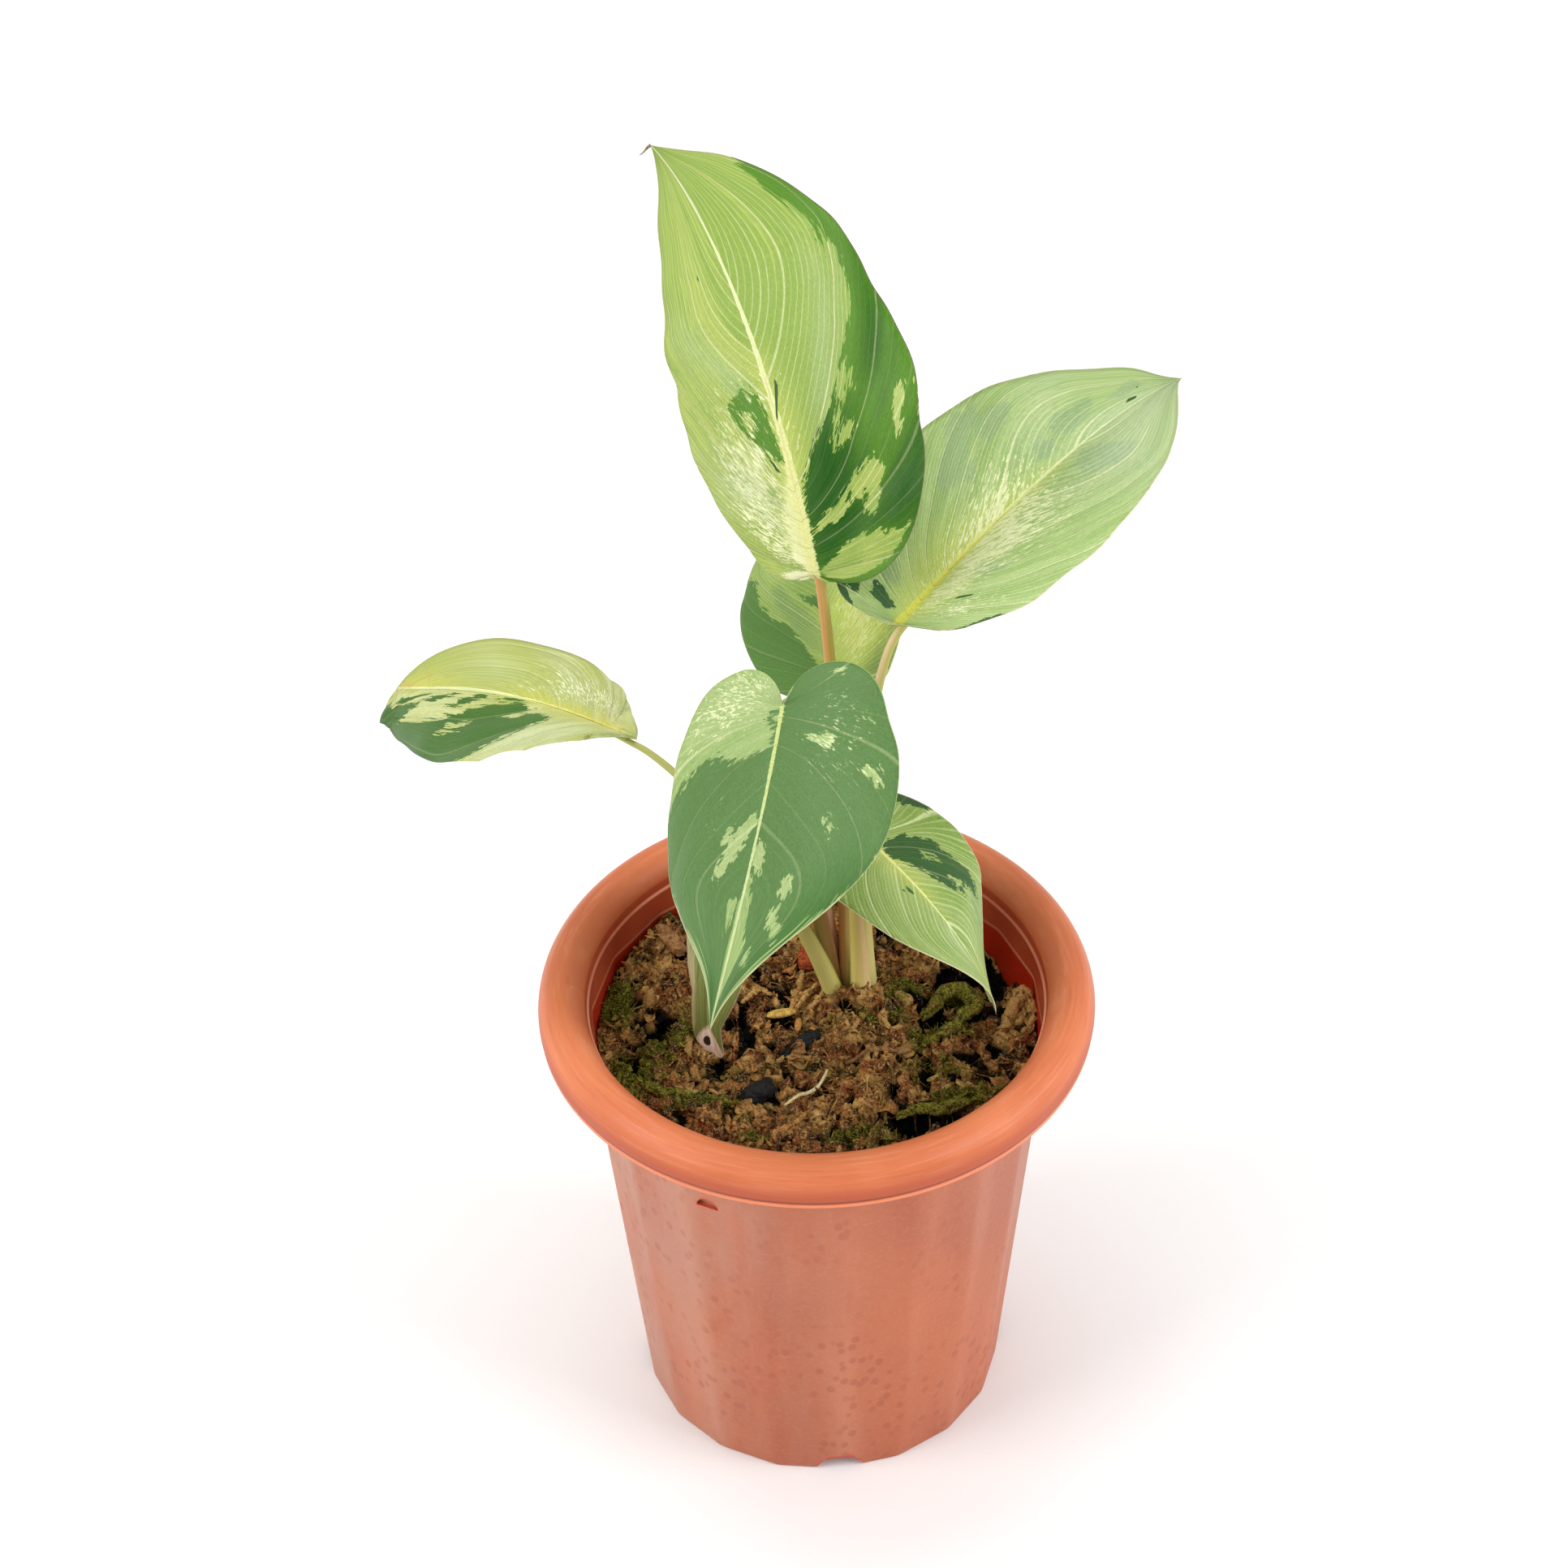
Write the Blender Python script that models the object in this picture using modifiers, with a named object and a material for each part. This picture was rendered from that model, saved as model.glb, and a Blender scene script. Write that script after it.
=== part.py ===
"""Potted homalomena: seven variegated leaves on one crown, in a 16 cm nursery pot.

Metres, +Z up. The origin is the middle of the pot's foot. Millimetres and degrees are used for
the named sizes below; MM turns millimetres into metres.
"""
import math

import bmesh
import bpy
import numpy as np
from mathutils import Matrix, Vector
from mathutils.bvhtree import BVHTree

MM = 0.001
GAP = 0.3                      # clearance between pieces that touch
MERGE = 0.00001                # metres within which corners become one

# Pot
RIM_RADIUS = 80.0              # outside of the rolled rim
RIM_TOP = 150.4
ROLL_HALF_WIDTH = 7.0
ROLL_RADIUS = RIM_RADIUS - ROLL_HALF_WIDTH
ROLL_MIDDLE = 141.7
LIP_RADIUS = 79.6
LIP_BOTTOM = 137.7
LIP_HEIGHT = 1.5
WALL_TOP_RADIUS = 67.5         # outside of the wall, level with the lip
FOOT_RADIUS = 52.8
WALL = 1.8
COLLAR_RADIUS = 65.4
COLLAR_LOW, COLLAR_HIGH = 134.0, 142.0
FLOOR_RISE = 6.0               # underside of the drained ring of the floor
FLOOR_DISC = 36.0              # radius of the middle disc that stands on the ground
FOOT_RING = 4.0                # width of the ring under the wall
PANELS = 18
RIDGE_ANGLE = 4.5              # degrees from the front to the first ridge
TURN_STEPS = 2 * PANELS
DRAIN_HOLES = 8
DRAIN_RADIUS = 3.5
NOTCHES = 4
NOTCH_ANGLE = 5.0
NOTCH_WIDTH, NOTCH_HEIGHT = 14.0, 5.5

# Potting mix and crown
SOIL_LEVEL = 124.5
SOIL_RINGS = 9
CROWN_X, CROWN_Y = 9.3, 21.0
CROWN_TOP = 126.2
CROWN_RADIUS = 9.2
CROWN_DEPTH = 40.0
CROWN_SIDES = 24

# Leaves: sizes in mm, angles in degrees.
# foot: where the petiole leaves the crown, from the crown's middle; base: where it meets the blade
# pitch, heading, roll: how the midrib starts; arch, sweep, twist: how much it turns up to the tip
BLADE = 0.8
PETIOLE_FOOT_RADIUS, PETIOLE_RADIUS, MIDRIB_TIP_RADIUS = 2.2, 1.55, 0.5
PETIOLE_NECK = 1.5             # upright stretch at the petiole's foot
BLADE_ROWS, BLADE_COLUMNS = 17, 6
LOBE_END, WIDEST_END = 0.20, 0.465      # shares of the edge: sinus to lobe, lobe to widest
VEINS_START = 0.29             # share of the edge whose veins all leave the blade's base
ROUND = 0.5523                 # handle of a Bezier quarter circle
LEAVES = {
    "leaf_1": dict(
        foot=(0.4, 1.0), base=(1.5, 45.0, 262.5), lean=(0.0, 0.1), pitch=67, heading=-25, roll=60,
        arch=81, arch_power=1.35, sweep=4, twist=-17, length=149, left=35, right=43, widest=0.30,
        lobe_left=2, lobe_right=2, lobe_at=0.25, tip=0.26, shoulder=0.54,
        fold_left=-3, fold_right=-3, curl_left=9, curl_right=15),
    "leaf_2": dict(
        foot=(5.4, 2.4), base=(25.0, 35.0, 252.3), lean=(-0.06, 0.1), pitch=20, heading=45, roll=4,
        arch=38, arch_power=1.6, sweep=-8, twist=-14, length=131, left=36, right=38, widest=0.33,
        lobe_left=4, lobe_right=-2, lobe_at=0.41, tip=0.18, shoulder=0.52,
        fold_left=23, fold_right=23, curl_left=17, curl_right=17),
    "leaf_3": dict(
        foot=(0.6, 6.2), base=(7.0, 45.6, 220.0), lean=(0.0, 0.1), pitch=24, heading=-4, roll=21,
        arch=45, arch_power=0.6, sweep=-2, twist=5, length=100, left=25.5, right=26.5, widest=0.34,
        lobe_left=1, lobe_right=4, lobe_at=0.39, tip=0.32, shoulder=0.49,
        fold_left=15, fold_right=15, curl_left=16, curl_right=12),
    "leaf_4": dict(
        foot=(-3.8, -4.6), base=(-48.9, 18.2, 226.3), lean=(-0.25, 0.0), pitch=5.6, heading=-61.2,
        roll=-39.5, arch=65.3, arch_power=1.55, sweep=7.3, twist=85.5, length=101, left=36.5, right=33,
        widest=0.26, lobe_left=-4, lobe_right=-8, lobe_at=0.27, tip=0.03, shoulder=0.35,
        fold_left=5.8, fold_right=5.8, curl_left=20.7, curl_right=21.7),
    "leaf_5": dict(
        foot=(-4.2, 5.2), base=(-7.8, 0.3, 252.9), lean=(-0.1, 0.0), pitch=-15, heading=189,
        roll=-12, arch=30, arch_power=1.7, sweep=12, twist=-25, length=98, left=36, right=35,
        widest=0.34, lobe_left=15, lobe_right=13.5, lobe_at=0.43, tip=0.35, shoulder=0.51,
        fold_left=4, fold_right=4, curl_left=40, curl_right=38),
    "leaf_6": dict(
        foot=(3.6, -4.0), base=(14.3, 7.4, 198.2), lean=(0.0, 0.0), pitch=-7, heading=140.5, roll=14,
        arch=69, arch_power=1.43, sweep=-16, twist=36, length=67, left=30, right=29, widest=0.34,
        lobe_left=12.8, lobe_right=11.7, lobe_at=0.45, tip=0.34, shoulder=0.46,
        fold_left=8, fold_right=8, curl_left=7, curl_right=26),
    "leaf_7": dict(
        foot=(-4.6, 0.3), base=(-14.9, 6.5, 223.3), lean=(-0.1, 0.0), pitch=-47, heading=210,
        roll=-10, arch=59, arch_power=1.5, sweep=-2, twist=0, length=95, left=16, right=10,
        widest=0.36, lobe_left=8, lobe_right=8, lobe_at=0.45, tip=0.26, shoulder=0.52,
        fold_left=10, fold_right=10, curl_left=12, curl_right=18),
}

# Loose bits on the mix: (x, y) of the middle, turn from +X, length, width, thickness
SEAT_STEP = 0.4                # spacing of the rays that find a bit's seat
BIT_HEIGHT = 145.0             # where a bit is made before it is lowered
BITS = {
    "charcoal_1": dict(at=(-3.0, -0.6), turn=47, size=(17, 5, 4)),
    "charcoal_2": dict(at=(-17.0, -21.0), turn=30, size=(9, 6, 5)),
    "bark_chip_1": dict(at=(-1.0, 32.5), turn=80, size=(9, 7, 4)),
    "bark_chip_2": dict(at=(-42.0, 34.0), turn=118, size=(13, 4, 3)),
    "rice_hull_1": dict(at=(-10.5, 9.6), turn=12, size=(10, 3.4, 2.2)),
    "rice_hull_2": dict(at=(-5.4, 5.0), turn=85, size=(6, 2.4, 1.8)),
}
STRANDS = {
    "white_root": dict(points=((-10.5, -27.6), (-5, -24), (-1.5, -19.5), (2.5, -12.5)), radius=0.55),
    "twig": dict(points=((8, -9.5), (13, -7.5), (20, -8.5), (27, -6)), radius=0.9),
}

# Base colours, roughness
FINISHES = {
    "pot": ((0.56, 0.17, 0.085), 0.5),
    "soil": ((0.10, 0.055, 0.028), 0.95),
    "crown": ((0.42, 0.30, 0.18), 0.7),
    "blade": ((0.18, 0.33, 0.10), 0.4),
    "petiole": ((0.50, 0.40, 0.20), 0.45),
    "charcoal": ((0.012, 0.013, 0.014), 0.8),
    "bark": ((0.22, 0.05, 0.02), 0.9),
    "hull": ((0.50, 0.33, 0.12), 0.7),
    "root": ((0.62, 0.52, 0.34), 0.7),
}


def clear_scene():
    """Take away whatever the scene holds."""
    for obj in list(bpy.data.objects):
        bpy.data.objects.remove(obj, do_unlink=True)


def new_collection(name):
    """A collection in the scene, by name."""
    collection = bpy.data.collections.new(name)
    bpy.context.scene.collection.children.link(collection)
    return collection


def finish(obj, kind):
    """Give the piece a Principled material of its own."""
    colour, roughness = FINISHES[kind]
    material = bpy.data.materials.new(obj.name)
    material.use_nodes = True
    shader = material.node_tree.nodes["Principled BSDF"]
    shader.inputs["Base Color"].default_value = (*colour, 1.0)
    shader.inputs["Roughness"].default_value = roughness
    shader.inputs["Metallic"].default_value = 0.0
    obj.data.materials.append(material)
    return obj


def mesh_object(name, bm, collection):
    """Put a bmesh into a new object of the collection."""
    mesh = bpy.data.meshes.new(name)
    bm.to_mesh(mesh)
    bm.free()
    obj = bpy.data.objects.new(name, mesh)
    collection.objects.link(obj)
    return obj


def evaluated_copy(obj, collection):
    """A plain mesh object with the modifiers of obj applied; obj goes."""
    name = obj.name
    graph = bpy.context.evaluated_depsgraph_get()
    mesh = bpy.data.meshes.new_from_object(obj.evaluated_get(graph))
    bm = bmesh.new()
    bm.from_mesh(mesh)
    bmesh.ops.remove_doubles(bm, verts=bm.verts, dist=MERGE)
    bpy.data.objects.remove(obj, do_unlink=True)
    return mesh_object(name, bm, collection)


def turned(name, profile, steps, collection):
    """Turn a profile of (radius, height) in mm about Z."""
    bm = bmesh.new()
    verts = [bm.verts.new((r * MM, 0.0, z * MM)) for r, z in profile]
    for start, end in zip(verts, verts[1:]):
        bm.edges.new((start, end))
    obj = mesh_object(name, bm, collection)
    screw = obj.modifiers.new("Turn", "SCREW")
    screw.steps = steps
    screw.render_steps = steps
    screw.use_merge_vertices = True
    screw.merge_threshold = MERGE
    return evaluated_copy(obj, collection)


def wall_radius(height):
    """Outside radius of the wall's ridges at a height, in mm."""
    return FOOT_RADIUS + (WALL_TOP_RADIUS - FOOT_RADIUS) * height / LIP_BOTTOM


def panel_factor(x, y):
    """The wall is an 18-sided prism: 1 on a ridge, cos(10 deg) / cos(angle) in between."""
    step = 2 * math.pi / PANELS
    angle = math.atan2(y, x) + math.pi / 2 - math.radians(RIDGE_ANGLE)
    off = (angle % step) - step / 2
    return math.cos(step / 2) / math.cos(off)


def flatten_panels(obj, lowest, highest, smallest, largest):
    """Pull a turned wall in between its ridges, between two heights and two radii."""
    for vert in obj.data.vertices:
        radius = math.hypot(vert.co.x, vert.co.y)
        height = vert.co.z / MM
        if lowest <= height <= highest and smallest * MM < radius < largest * MM:
            factor = panel_factor(vert.co.x, vert.co.y)
            vert.co.x *= factor
            vert.co.y *= factor


def turn_about_z(obj, degrees):
    """Turn a piece's mesh about the upright axis through the origin."""
    obj.data.transform(Matrix.Rotation(math.radians(degrees), 4, "Z"))


def ellipse(centre, radii, start, end, count):
    """Points on an ellipse arc, in degrees, both ends kept."""
    angles = np.radians(np.linspace(start, end, count))
    return [(centre[0] + radii[0] * math.cos(a), centre[1] + radii[1] * math.sin(a)) for a in angles]


def pot_profile():
    """From the middle of the floor, up inside, over the roll, down outside and back under."""
    half_height = RIM_TOP - ROLL_MIDDLE
    floor_top = FLOOR_RISE + WALL
    ring_inner = FOOT_RADIUS - FOOT_RING
    inside = [(0, WALL), (FLOOR_DISC - 1.5, WALL), (FLOOR_DISC, floor_top),
              (wall_radius(floor_top) - WALL, floor_top),
              (wall_radius(COLLAR_LOW) - WALL, COLLAR_LOW - 0.3),
              (COLLAR_RADIUS, COLLAR_LOW), (COLLAR_RADIUS, COLLAR_HIGH)]
    roll = ellipse((ROLL_RADIUS, ROLL_MIDDLE), (ROLL_HALF_WIDTH, half_height), 176, -14, 10)
    lip = [(LIP_RADIUS - 0.9, LIP_BOTTOM + LIP_HEIGHT), (LIP_RADIUS, LIP_BOTTOM + LIP_HEIGHT - 0.1),
           (LIP_RADIUS, LIP_BOTTOM), (LIP_RADIUS - WALL, LIP_BOTTOM)]
    channel = ellipse((ROLL_RADIUS - 0.2, ROLL_MIDDLE),
                      (ROLL_HALF_WIDTH - WALL, half_height - WALL), 0, 180, 5)
    outside = [(WALL_TOP_RADIUS, LIP_BOTTOM), (FOOT_RADIUS, 0), (ring_inner + 1, 0),
               (ring_inner - 0.4, FLOOR_RISE), (FLOOR_DISC + 1.5, FLOOR_RISE), (FLOOR_DISC, 0), (0, 0)]
    return inside + roll + lip + channel + outside


def cut_away(obj, cutters, collection):
    """Cut every object of the cutters collection out of obj, then take the cutters away."""
    modifier = obj.modifiers.new("Cut", "BOOLEAN")
    modifier.operation = "DIFFERENCE"
    modifier.operand_type = "COLLECTION"
    modifier.collection = cutters
    modifier.solver = "EXACT"
    result = evaluated_copy(obj, collection)
    for cutter in list(cutters.objects):
        bpy.data.objects.remove(cutter, do_unlink=True)
    return result


def cylinder(name, radius, length, centre, axis, sides, collection):
    """A closed cylinder in mm, its axis along a unit vector."""
    bm = bmesh.new()
    bmesh.ops.create_cone(bm, cap_ends=True, segments=sides, radius1=radius * MM,
                          radius2=radius * MM, depth=length * MM)
    obj = mesh_object(name, bm, collection)
    turn = Vector((0, 0, 1)).rotation_difference(Vector(axis)).to_matrix().to_4x4()
    obj.data.transform(turn)
    obj.data.transform(Matrix.Translation(Vector(centre) * MM))
    return obj


def drain_cutters(collection):
    """Drain holes through the raised floor ring, and arched notches through the foot."""
    middle = (FLOOR_DISC + FOOT_RADIUS - FOOT_RING) / 2 + 0.5
    for k in range(DRAIN_HOLES):
        angle = 2 * math.pi * (k + 0.5) / DRAIN_HOLES
        centre = (middle * math.cos(angle), middle * math.sin(angle), FLOOR_RISE + WALL / 2)
        cylinder(f"drain_{k}", DRAIN_RADIUS, 3 * WALL, centre, (0, 0, 1), 12, collection)
    arch_radius = (NOTCH_WIDTH ** 2 / 4 + NOTCH_HEIGHT ** 2) / (2 * NOTCH_HEIGHT)
    for k in range(NOTCHES):
        angle = math.radians(NOTCH_ANGLE - 90 + 360 * k / NOTCHES)
        out = (math.cos(angle), math.sin(angle), 0)
        reach = FOOT_RADIUS - FOOT_RING / 2 + 0.5
        centre = (reach * out[0], reach * out[1], NOTCH_HEIGHT - arch_radius)
        cylinder(f"notch_{k}", arch_radius, FOOT_RING + 5, centre, out, 24, collection)


def build_pot(collection, cutters):
    """The moulded pot: turned profile, flat panels, drain holes and notches."""
    pot = turned("pot", pot_profile(), TURN_STEPS, collection)
    turn_about_z(pot, RIDGE_ANGLE - 90)
    flatten_panels(pot, 0, LIP_BOTTOM + 0.01, FOOT_RADIUS - WALL - 1, WALL_TOP_RADIUS + 1)
    drain_cutters(cutters)
    pot = cut_away(pot, cutters, collection)
    return finish(pot, "pot")


def soil_relief(x, y):
    """Height of the mix's top at (x, y) in mm: a level, a pile, a moss mound, a hollow, lumps."""
    pile = 9.0 * np.exp(-((x + 40) ** 2 + (y - 34) ** 2) / (2 * 20 ** 2))
    mound = 3.0 * np.exp(-((x - 26) ** 2 + (y - 6) ** 2) / (2 * 11 ** 2))
    hollow = 5.0 * np.exp(-((x - 33) ** 2 + (y + 46) ** 2) / (2 * 7 ** 2))
    lumps = 0.9 * np.sin(x / 6.1 + 0.6) * np.sin(y / 5.3 + 1.1)
    near = np.exp(-((x - CROWN_X) ** 2 + (y - CROWN_Y) ** 2) / (2 * 12 ** 2))
    flat = SOIL_LEVEL + (CROWN_TOP - 0.6 - SOIL_LEVEL) * near
    return flat + (pile + mound - hollow + lumps) * (1 - near)


def build_soil(collection, cutters):
    """A turned filling that follows the pot's inside, its top moved to the relief."""
    bottom = FLOOR_RISE + WALL + GAP
    inner = WALL + GAP
    top_radius = wall_radius(SOIL_LEVEL) - inner
    rings = np.linspace(0, 1, SOIL_RINGS + 1)[1:] * top_radius
    profile = [(0, SOIL_LEVEL)] + [(r, SOIL_LEVEL) for r in rings]
    profile += [(wall_radius(bottom) - inner, bottom), (FLOOR_DISC - GAP, bottom),
                (FLOOR_DISC - 1.5 - 2 * GAP, WALL + GAP), (0, WALL + GAP)]
    soil = turned("soil", profile, TURN_STEPS, collection)
    turn_about_z(soil, RIDGE_ANGLE - 90)
    for vert in soil.data.vertices:
        if vert.co.z > (SOIL_LEVEL - 1) * MM:
            height = soil_relief(vert.co.x / MM, vert.co.y / MM)
            radius = math.hypot(vert.co.x, vert.co.y) / MM
            if radius > top_radius - 0.1:
                grow = (wall_radius(height) - inner) / radius
                vert.co.x *= grow
                vert.co.y *= grow
            vert.co.z = height * MM
    flatten_panels(soil, bottom - 0.1, RIM_TOP, wall_radius(bottom) - inner - 0.1, WALL_TOP_RADIUS)
    hole_bottom = CROWN_TOP - CROWN_DEPTH - GAP
    cylinder("crown_hole", CROWN_RADIUS + GAP, RIM_TOP - hole_bottom,
             (CROWN_X, CROWN_Y, (RIM_TOP + hole_bottom) / 2), (0, 0, 1), CROWN_SIDES, cutters)
    soil = cut_away(soil, cutters, collection)
    return finish(soil, "soil")


def build_crown(collection):
    """The short rhizome, flat on top where the petioles leave it."""
    bottom = CROWN_TOP - CROWN_DEPTH
    profile = [(0, CROWN_TOP), (CROWN_RADIUS - 0.8, CROWN_TOP), (CROWN_RADIUS - 0.1, CROWN_TOP - 0.8),
               (CROWN_RADIUS - 0.1, CROWN_TOP - 9), (CROWN_RADIUS - 1.2, CROWN_TOP - 20),
               (CROWN_RADIUS - 3, CROWN_TOP - 32), (CROWN_RADIUS - 6, bottom), (0, bottom)]
    crown = turned("crown", profile, CROWN_SIDES, collection)
    shift = Vector((CROWN_X, CROWN_Y, 0)) * MM
    for vert in crown.data.vertices:
        vert.co += shift
    return finish(crown, "crown")


def bezier(points, t):
    """Cubic Bezier through four control points, for an array of t."""
    a, b, c, d = (np.asarray(p, float) for p in points)
    t = np.asarray(t, float)[..., None]
    return (1 - t) ** 3 * a + 3 * (1 - t) ** 2 * t * b + 3 * (1 - t) * t ** 2 * c + t ** 3 * d


def margin(leaf, side, u):
    """The blade's edge in the flat, u from the sinus (0) round the lobe to the tip (1)."""
    half = leaf["left"] if side < 0 else leaf["right"]
    lobe = leaf["lobe_left"] if side < 0 else leaf["lobe_right"]
    length = leaf["length"]
    widest = leaf["widest"] * length
    back = leaf["lobe_at"] * half
    rest = length - widest
    sinus = bezier(((0, 0), (0.1 * back, -0.55 * lobe), (0.45 * back, -lobe), (back, -lobe)),
                   np.clip(u / LOBE_END, 0, 1))
    belly = bezier(((back, -lobe), (back + (half - back) * ROUND, -lobe),
                    (half, widest - (widest + lobe) * ROUND), (half, widest)),
                   np.clip((u - LOBE_END) / (WIDEST_END - LOBE_END), 0, 1))
    point = bezier(((half, widest), (half, widest + rest * leaf["shoulder"]),
                    (half * leaf["tip"] / 2, length - rest * leaf["tip"]), (0, length)),
                   np.clip((u - WIDEST_END) / (1 - WIDEST_END), 0, 1))
    u = u[..., None]
    return np.where(u < LOBE_END, sinus, np.where(u < WIDEST_END, belly, point))


def midrib_frame(leaf, s):
    """Place, direction, right and face of the midrib at s mm from the blade's base."""
    length = leaf["length"]
    steps = np.linspace(-0.5 * length, length, 241)
    along = np.clip(steps / length, 1e-9, 1)
    heading = np.radians(leaf["heading"] + leaf["sweep"] * along ** 1.3)
    pitch = np.radians(leaf["pitch"] - leaf["arch"] * along ** leaf["arch_power"])
    roll = np.radians(leaf["roll"] + leaf["twist"] * along)[:, None]
    level = np.zeros_like(heading)
    ahead = np.stack([np.sin(heading) * np.cos(pitch), np.cos(heading) * np.cos(pitch), np.sin(pitch)], 1)
    above = np.stack([-np.sin(heading) * np.sin(pitch), -np.cos(heading) * np.sin(pitch), np.cos(pitch)], 1)
    beside = np.stack([np.cos(heading), -np.sin(heading), level], 1)
    right = np.cos(roll) * beside + np.sin(roll) * above
    face = np.cos(roll) * above - np.sin(roll) * beside
    move = (ahead[1:] + ahead[:-1]) / 2 * (steps[1] - steps[0])
    place = np.vstack([np.zeros(3), np.cumsum(move, 0)])
    place += np.array(leaf["base"]) - place[np.argmin(np.abs(steps))]

    def read(table):
        return np.stack([np.interp(s, steps, table[:, k]) for k in range(3)], -1)

    return read(place), read(ahead), read(right), read(face)


def blade_points(leaf, u, t):
    """Points of the blade's middle surface; u along the edge, t across from -1 to 1."""
    start = np.clip((u - VEINS_START) / (1 - VEINS_START), 0, 1) ** 1.25 * leaf["length"]
    rib = np.stack([np.zeros_like(start), start], -1)
    edge_left = margin(leaf, -1, u) * np.array([-1, 1])
    edge_right = margin(leaf, 1, u)
    edge = np.where((t < 0)[..., None], edge_left, edge_right)
    across = np.abs(t)[..., None]
    bend = rib + (edge - rib) * np.array([0.55, 0.30])
    flat = (1 - across) ** 2 * rib + 2 * (1 - across) * across * bend + across ** 2 * edge
    x, y = flat[..., 0], flat[..., 1]
    place, _, right, face = midrib_frame(leaf, y)
    half = np.where(x < 0, leaf["left"], leaf["right"])
    fold = np.radians(np.where(x < 0, leaf["fold_left"], leaf["fold_right"]))
    curl = np.radians(np.where(x < 0, leaf["curl_left"], leaf["curl_right"]))
    angle = fold - curl * np.abs(x) / half * 0.5
    sideways = x * np.cos(angle)
    rise = np.abs(x) * np.sin(angle)
    return place + sideways[..., None] * right + rise[..., None] * face


def build_blade(name, leaf, collection):
    """A grid laid on the blade's surface, split into triangles and given its thickness."""
    bm = bmesh.new()
    bmesh.ops.create_grid(bm, x_segments=BLADE_COLUMNS, y_segments=BLADE_ROWS, size=1)
    flat = np.array([vert.co[:] for vert in bm.verts])
    points = blade_points(leaf, (flat[:, 1] + 1) / 2, flat[:, 0])
    for vert, point in zip(bm.verts, points):
        vert.co = point * MM
    bmesh.ops.remove_doubles(bm, verts=bm.verts, dist=2 * MERGE)
    bmesh.ops.triangulate(bm, faces=bm.faces)
    blade = mesh_object(name, bm, collection)
    solid = blade.modifiers.new("Thickness", "SOLIDIFY")
    solid.thickness = BLADE * MM
    solid.offset = 0
    blade = evaluated_copy(blade, collection)
    return finish(blade, "blade")


def petiole_path(leaf):
    """Points and radii of a petiole and of the midrib that it becomes, in mm."""
    rib = np.linspace(0, 0.88, 9)
    rib_radius = PETIOLE_RADIUS + (MIDRIB_TIP_RADIUS - PETIOLE_RADIUS) * rib ** 0.7
    place, ahead, _, face = midrib_frame(leaf, rib * leaf["length"])
    under = place - face * (BLADE / 2 + GAP + rib_radius)[:, None]
    foot = np.array([CROWN_X + leaf["foot"][0], CROWN_Y + leaf["foot"][1], CROWN_TOP + GAP])
    neck = foot + np.array([0, 0, PETIOLE_NECK])
    up = np.array([leaf["lean"][0], leaf["lean"][1], 1.0])
    height = np.linalg.norm(under[0] - neck)
    t = np.linspace(0, 1, 10)[:-1]
    stalk = bezier((neck, neck + up * height * 0.38, under[0] - ahead[0] * height * 0.12, under[0]), t)
    stalk_radius = PETIOLE_FOOT_RADIUS + (PETIOLE_RADIUS - PETIOLE_FOOT_RADIUS) * t ** 0.6
    points = np.vstack([foot, stalk, under])
    return points, np.concatenate([[PETIOLE_FOOT_RADIUS], stalk_radius, rib_radius])


def build_tube(name, points, radii, kind, collection):
    """A round tube along points, a different radius at each, with flat caps."""
    curve = bpy.data.curves.new(name, "CURVE")
    curve.dimensions = "3D"
    curve.bevel_depth = MM
    curve.bevel_resolution = 2
    curve.use_fill_caps = True
    spline = curve.splines.new("POLY")
    spline.points.add(len(points) - 1)
    for knot, point, radius in zip(spline.points, points, radii):
        knot.co = (*(point * MM), 1.0)
        knot.radius = radius
    obj = bpy.data.objects.new(name, curve)
    collection.objects.link(obj)
    return finish(evaluated_copy(obj, collection), kind)


def build_leaf(name, leaf, collection):
    """A blade and the petiole that carries it."""
    build_blade(name + "_blade", leaf, collection)
    points, radii = petiole_path(leaf)
    build_tube(name + "_petiole", points, radii, "petiole", collection)


def seat(obj, ground):
    """Lower a piece until its nearest point is the usual gap above the mix."""
    corners = np.array([vert.co[:] for vert in obj.data.vertices])
    low, high = corners.min(0), corners.max(0)
    bm = bmesh.new()
    bm.from_mesh(obj.data)
    piece = BVHTree.FromBMesh(bm)
    bm.free()
    nearest = 1.0
    for x in np.arange(low[0], high[0], SEAT_STEP * MM):
        for y in np.arange(low[1], high[1], SEAT_STEP * MM):
            under = piece.ray_cast(Vector((x, y, low[2] - 0.01)), Vector((0, 0, 1)))[0]
            top = ground.ray_cast(Vector((x, y, RIM_TOP * MM)), Vector((0, 0, -1)))[0]
            if under is not None and top is not None:
                nearest = min(nearest, under.z - top.z)
    for vert in obj.data.vertices:
        vert.co.z -= nearest - GAP * MM


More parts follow.
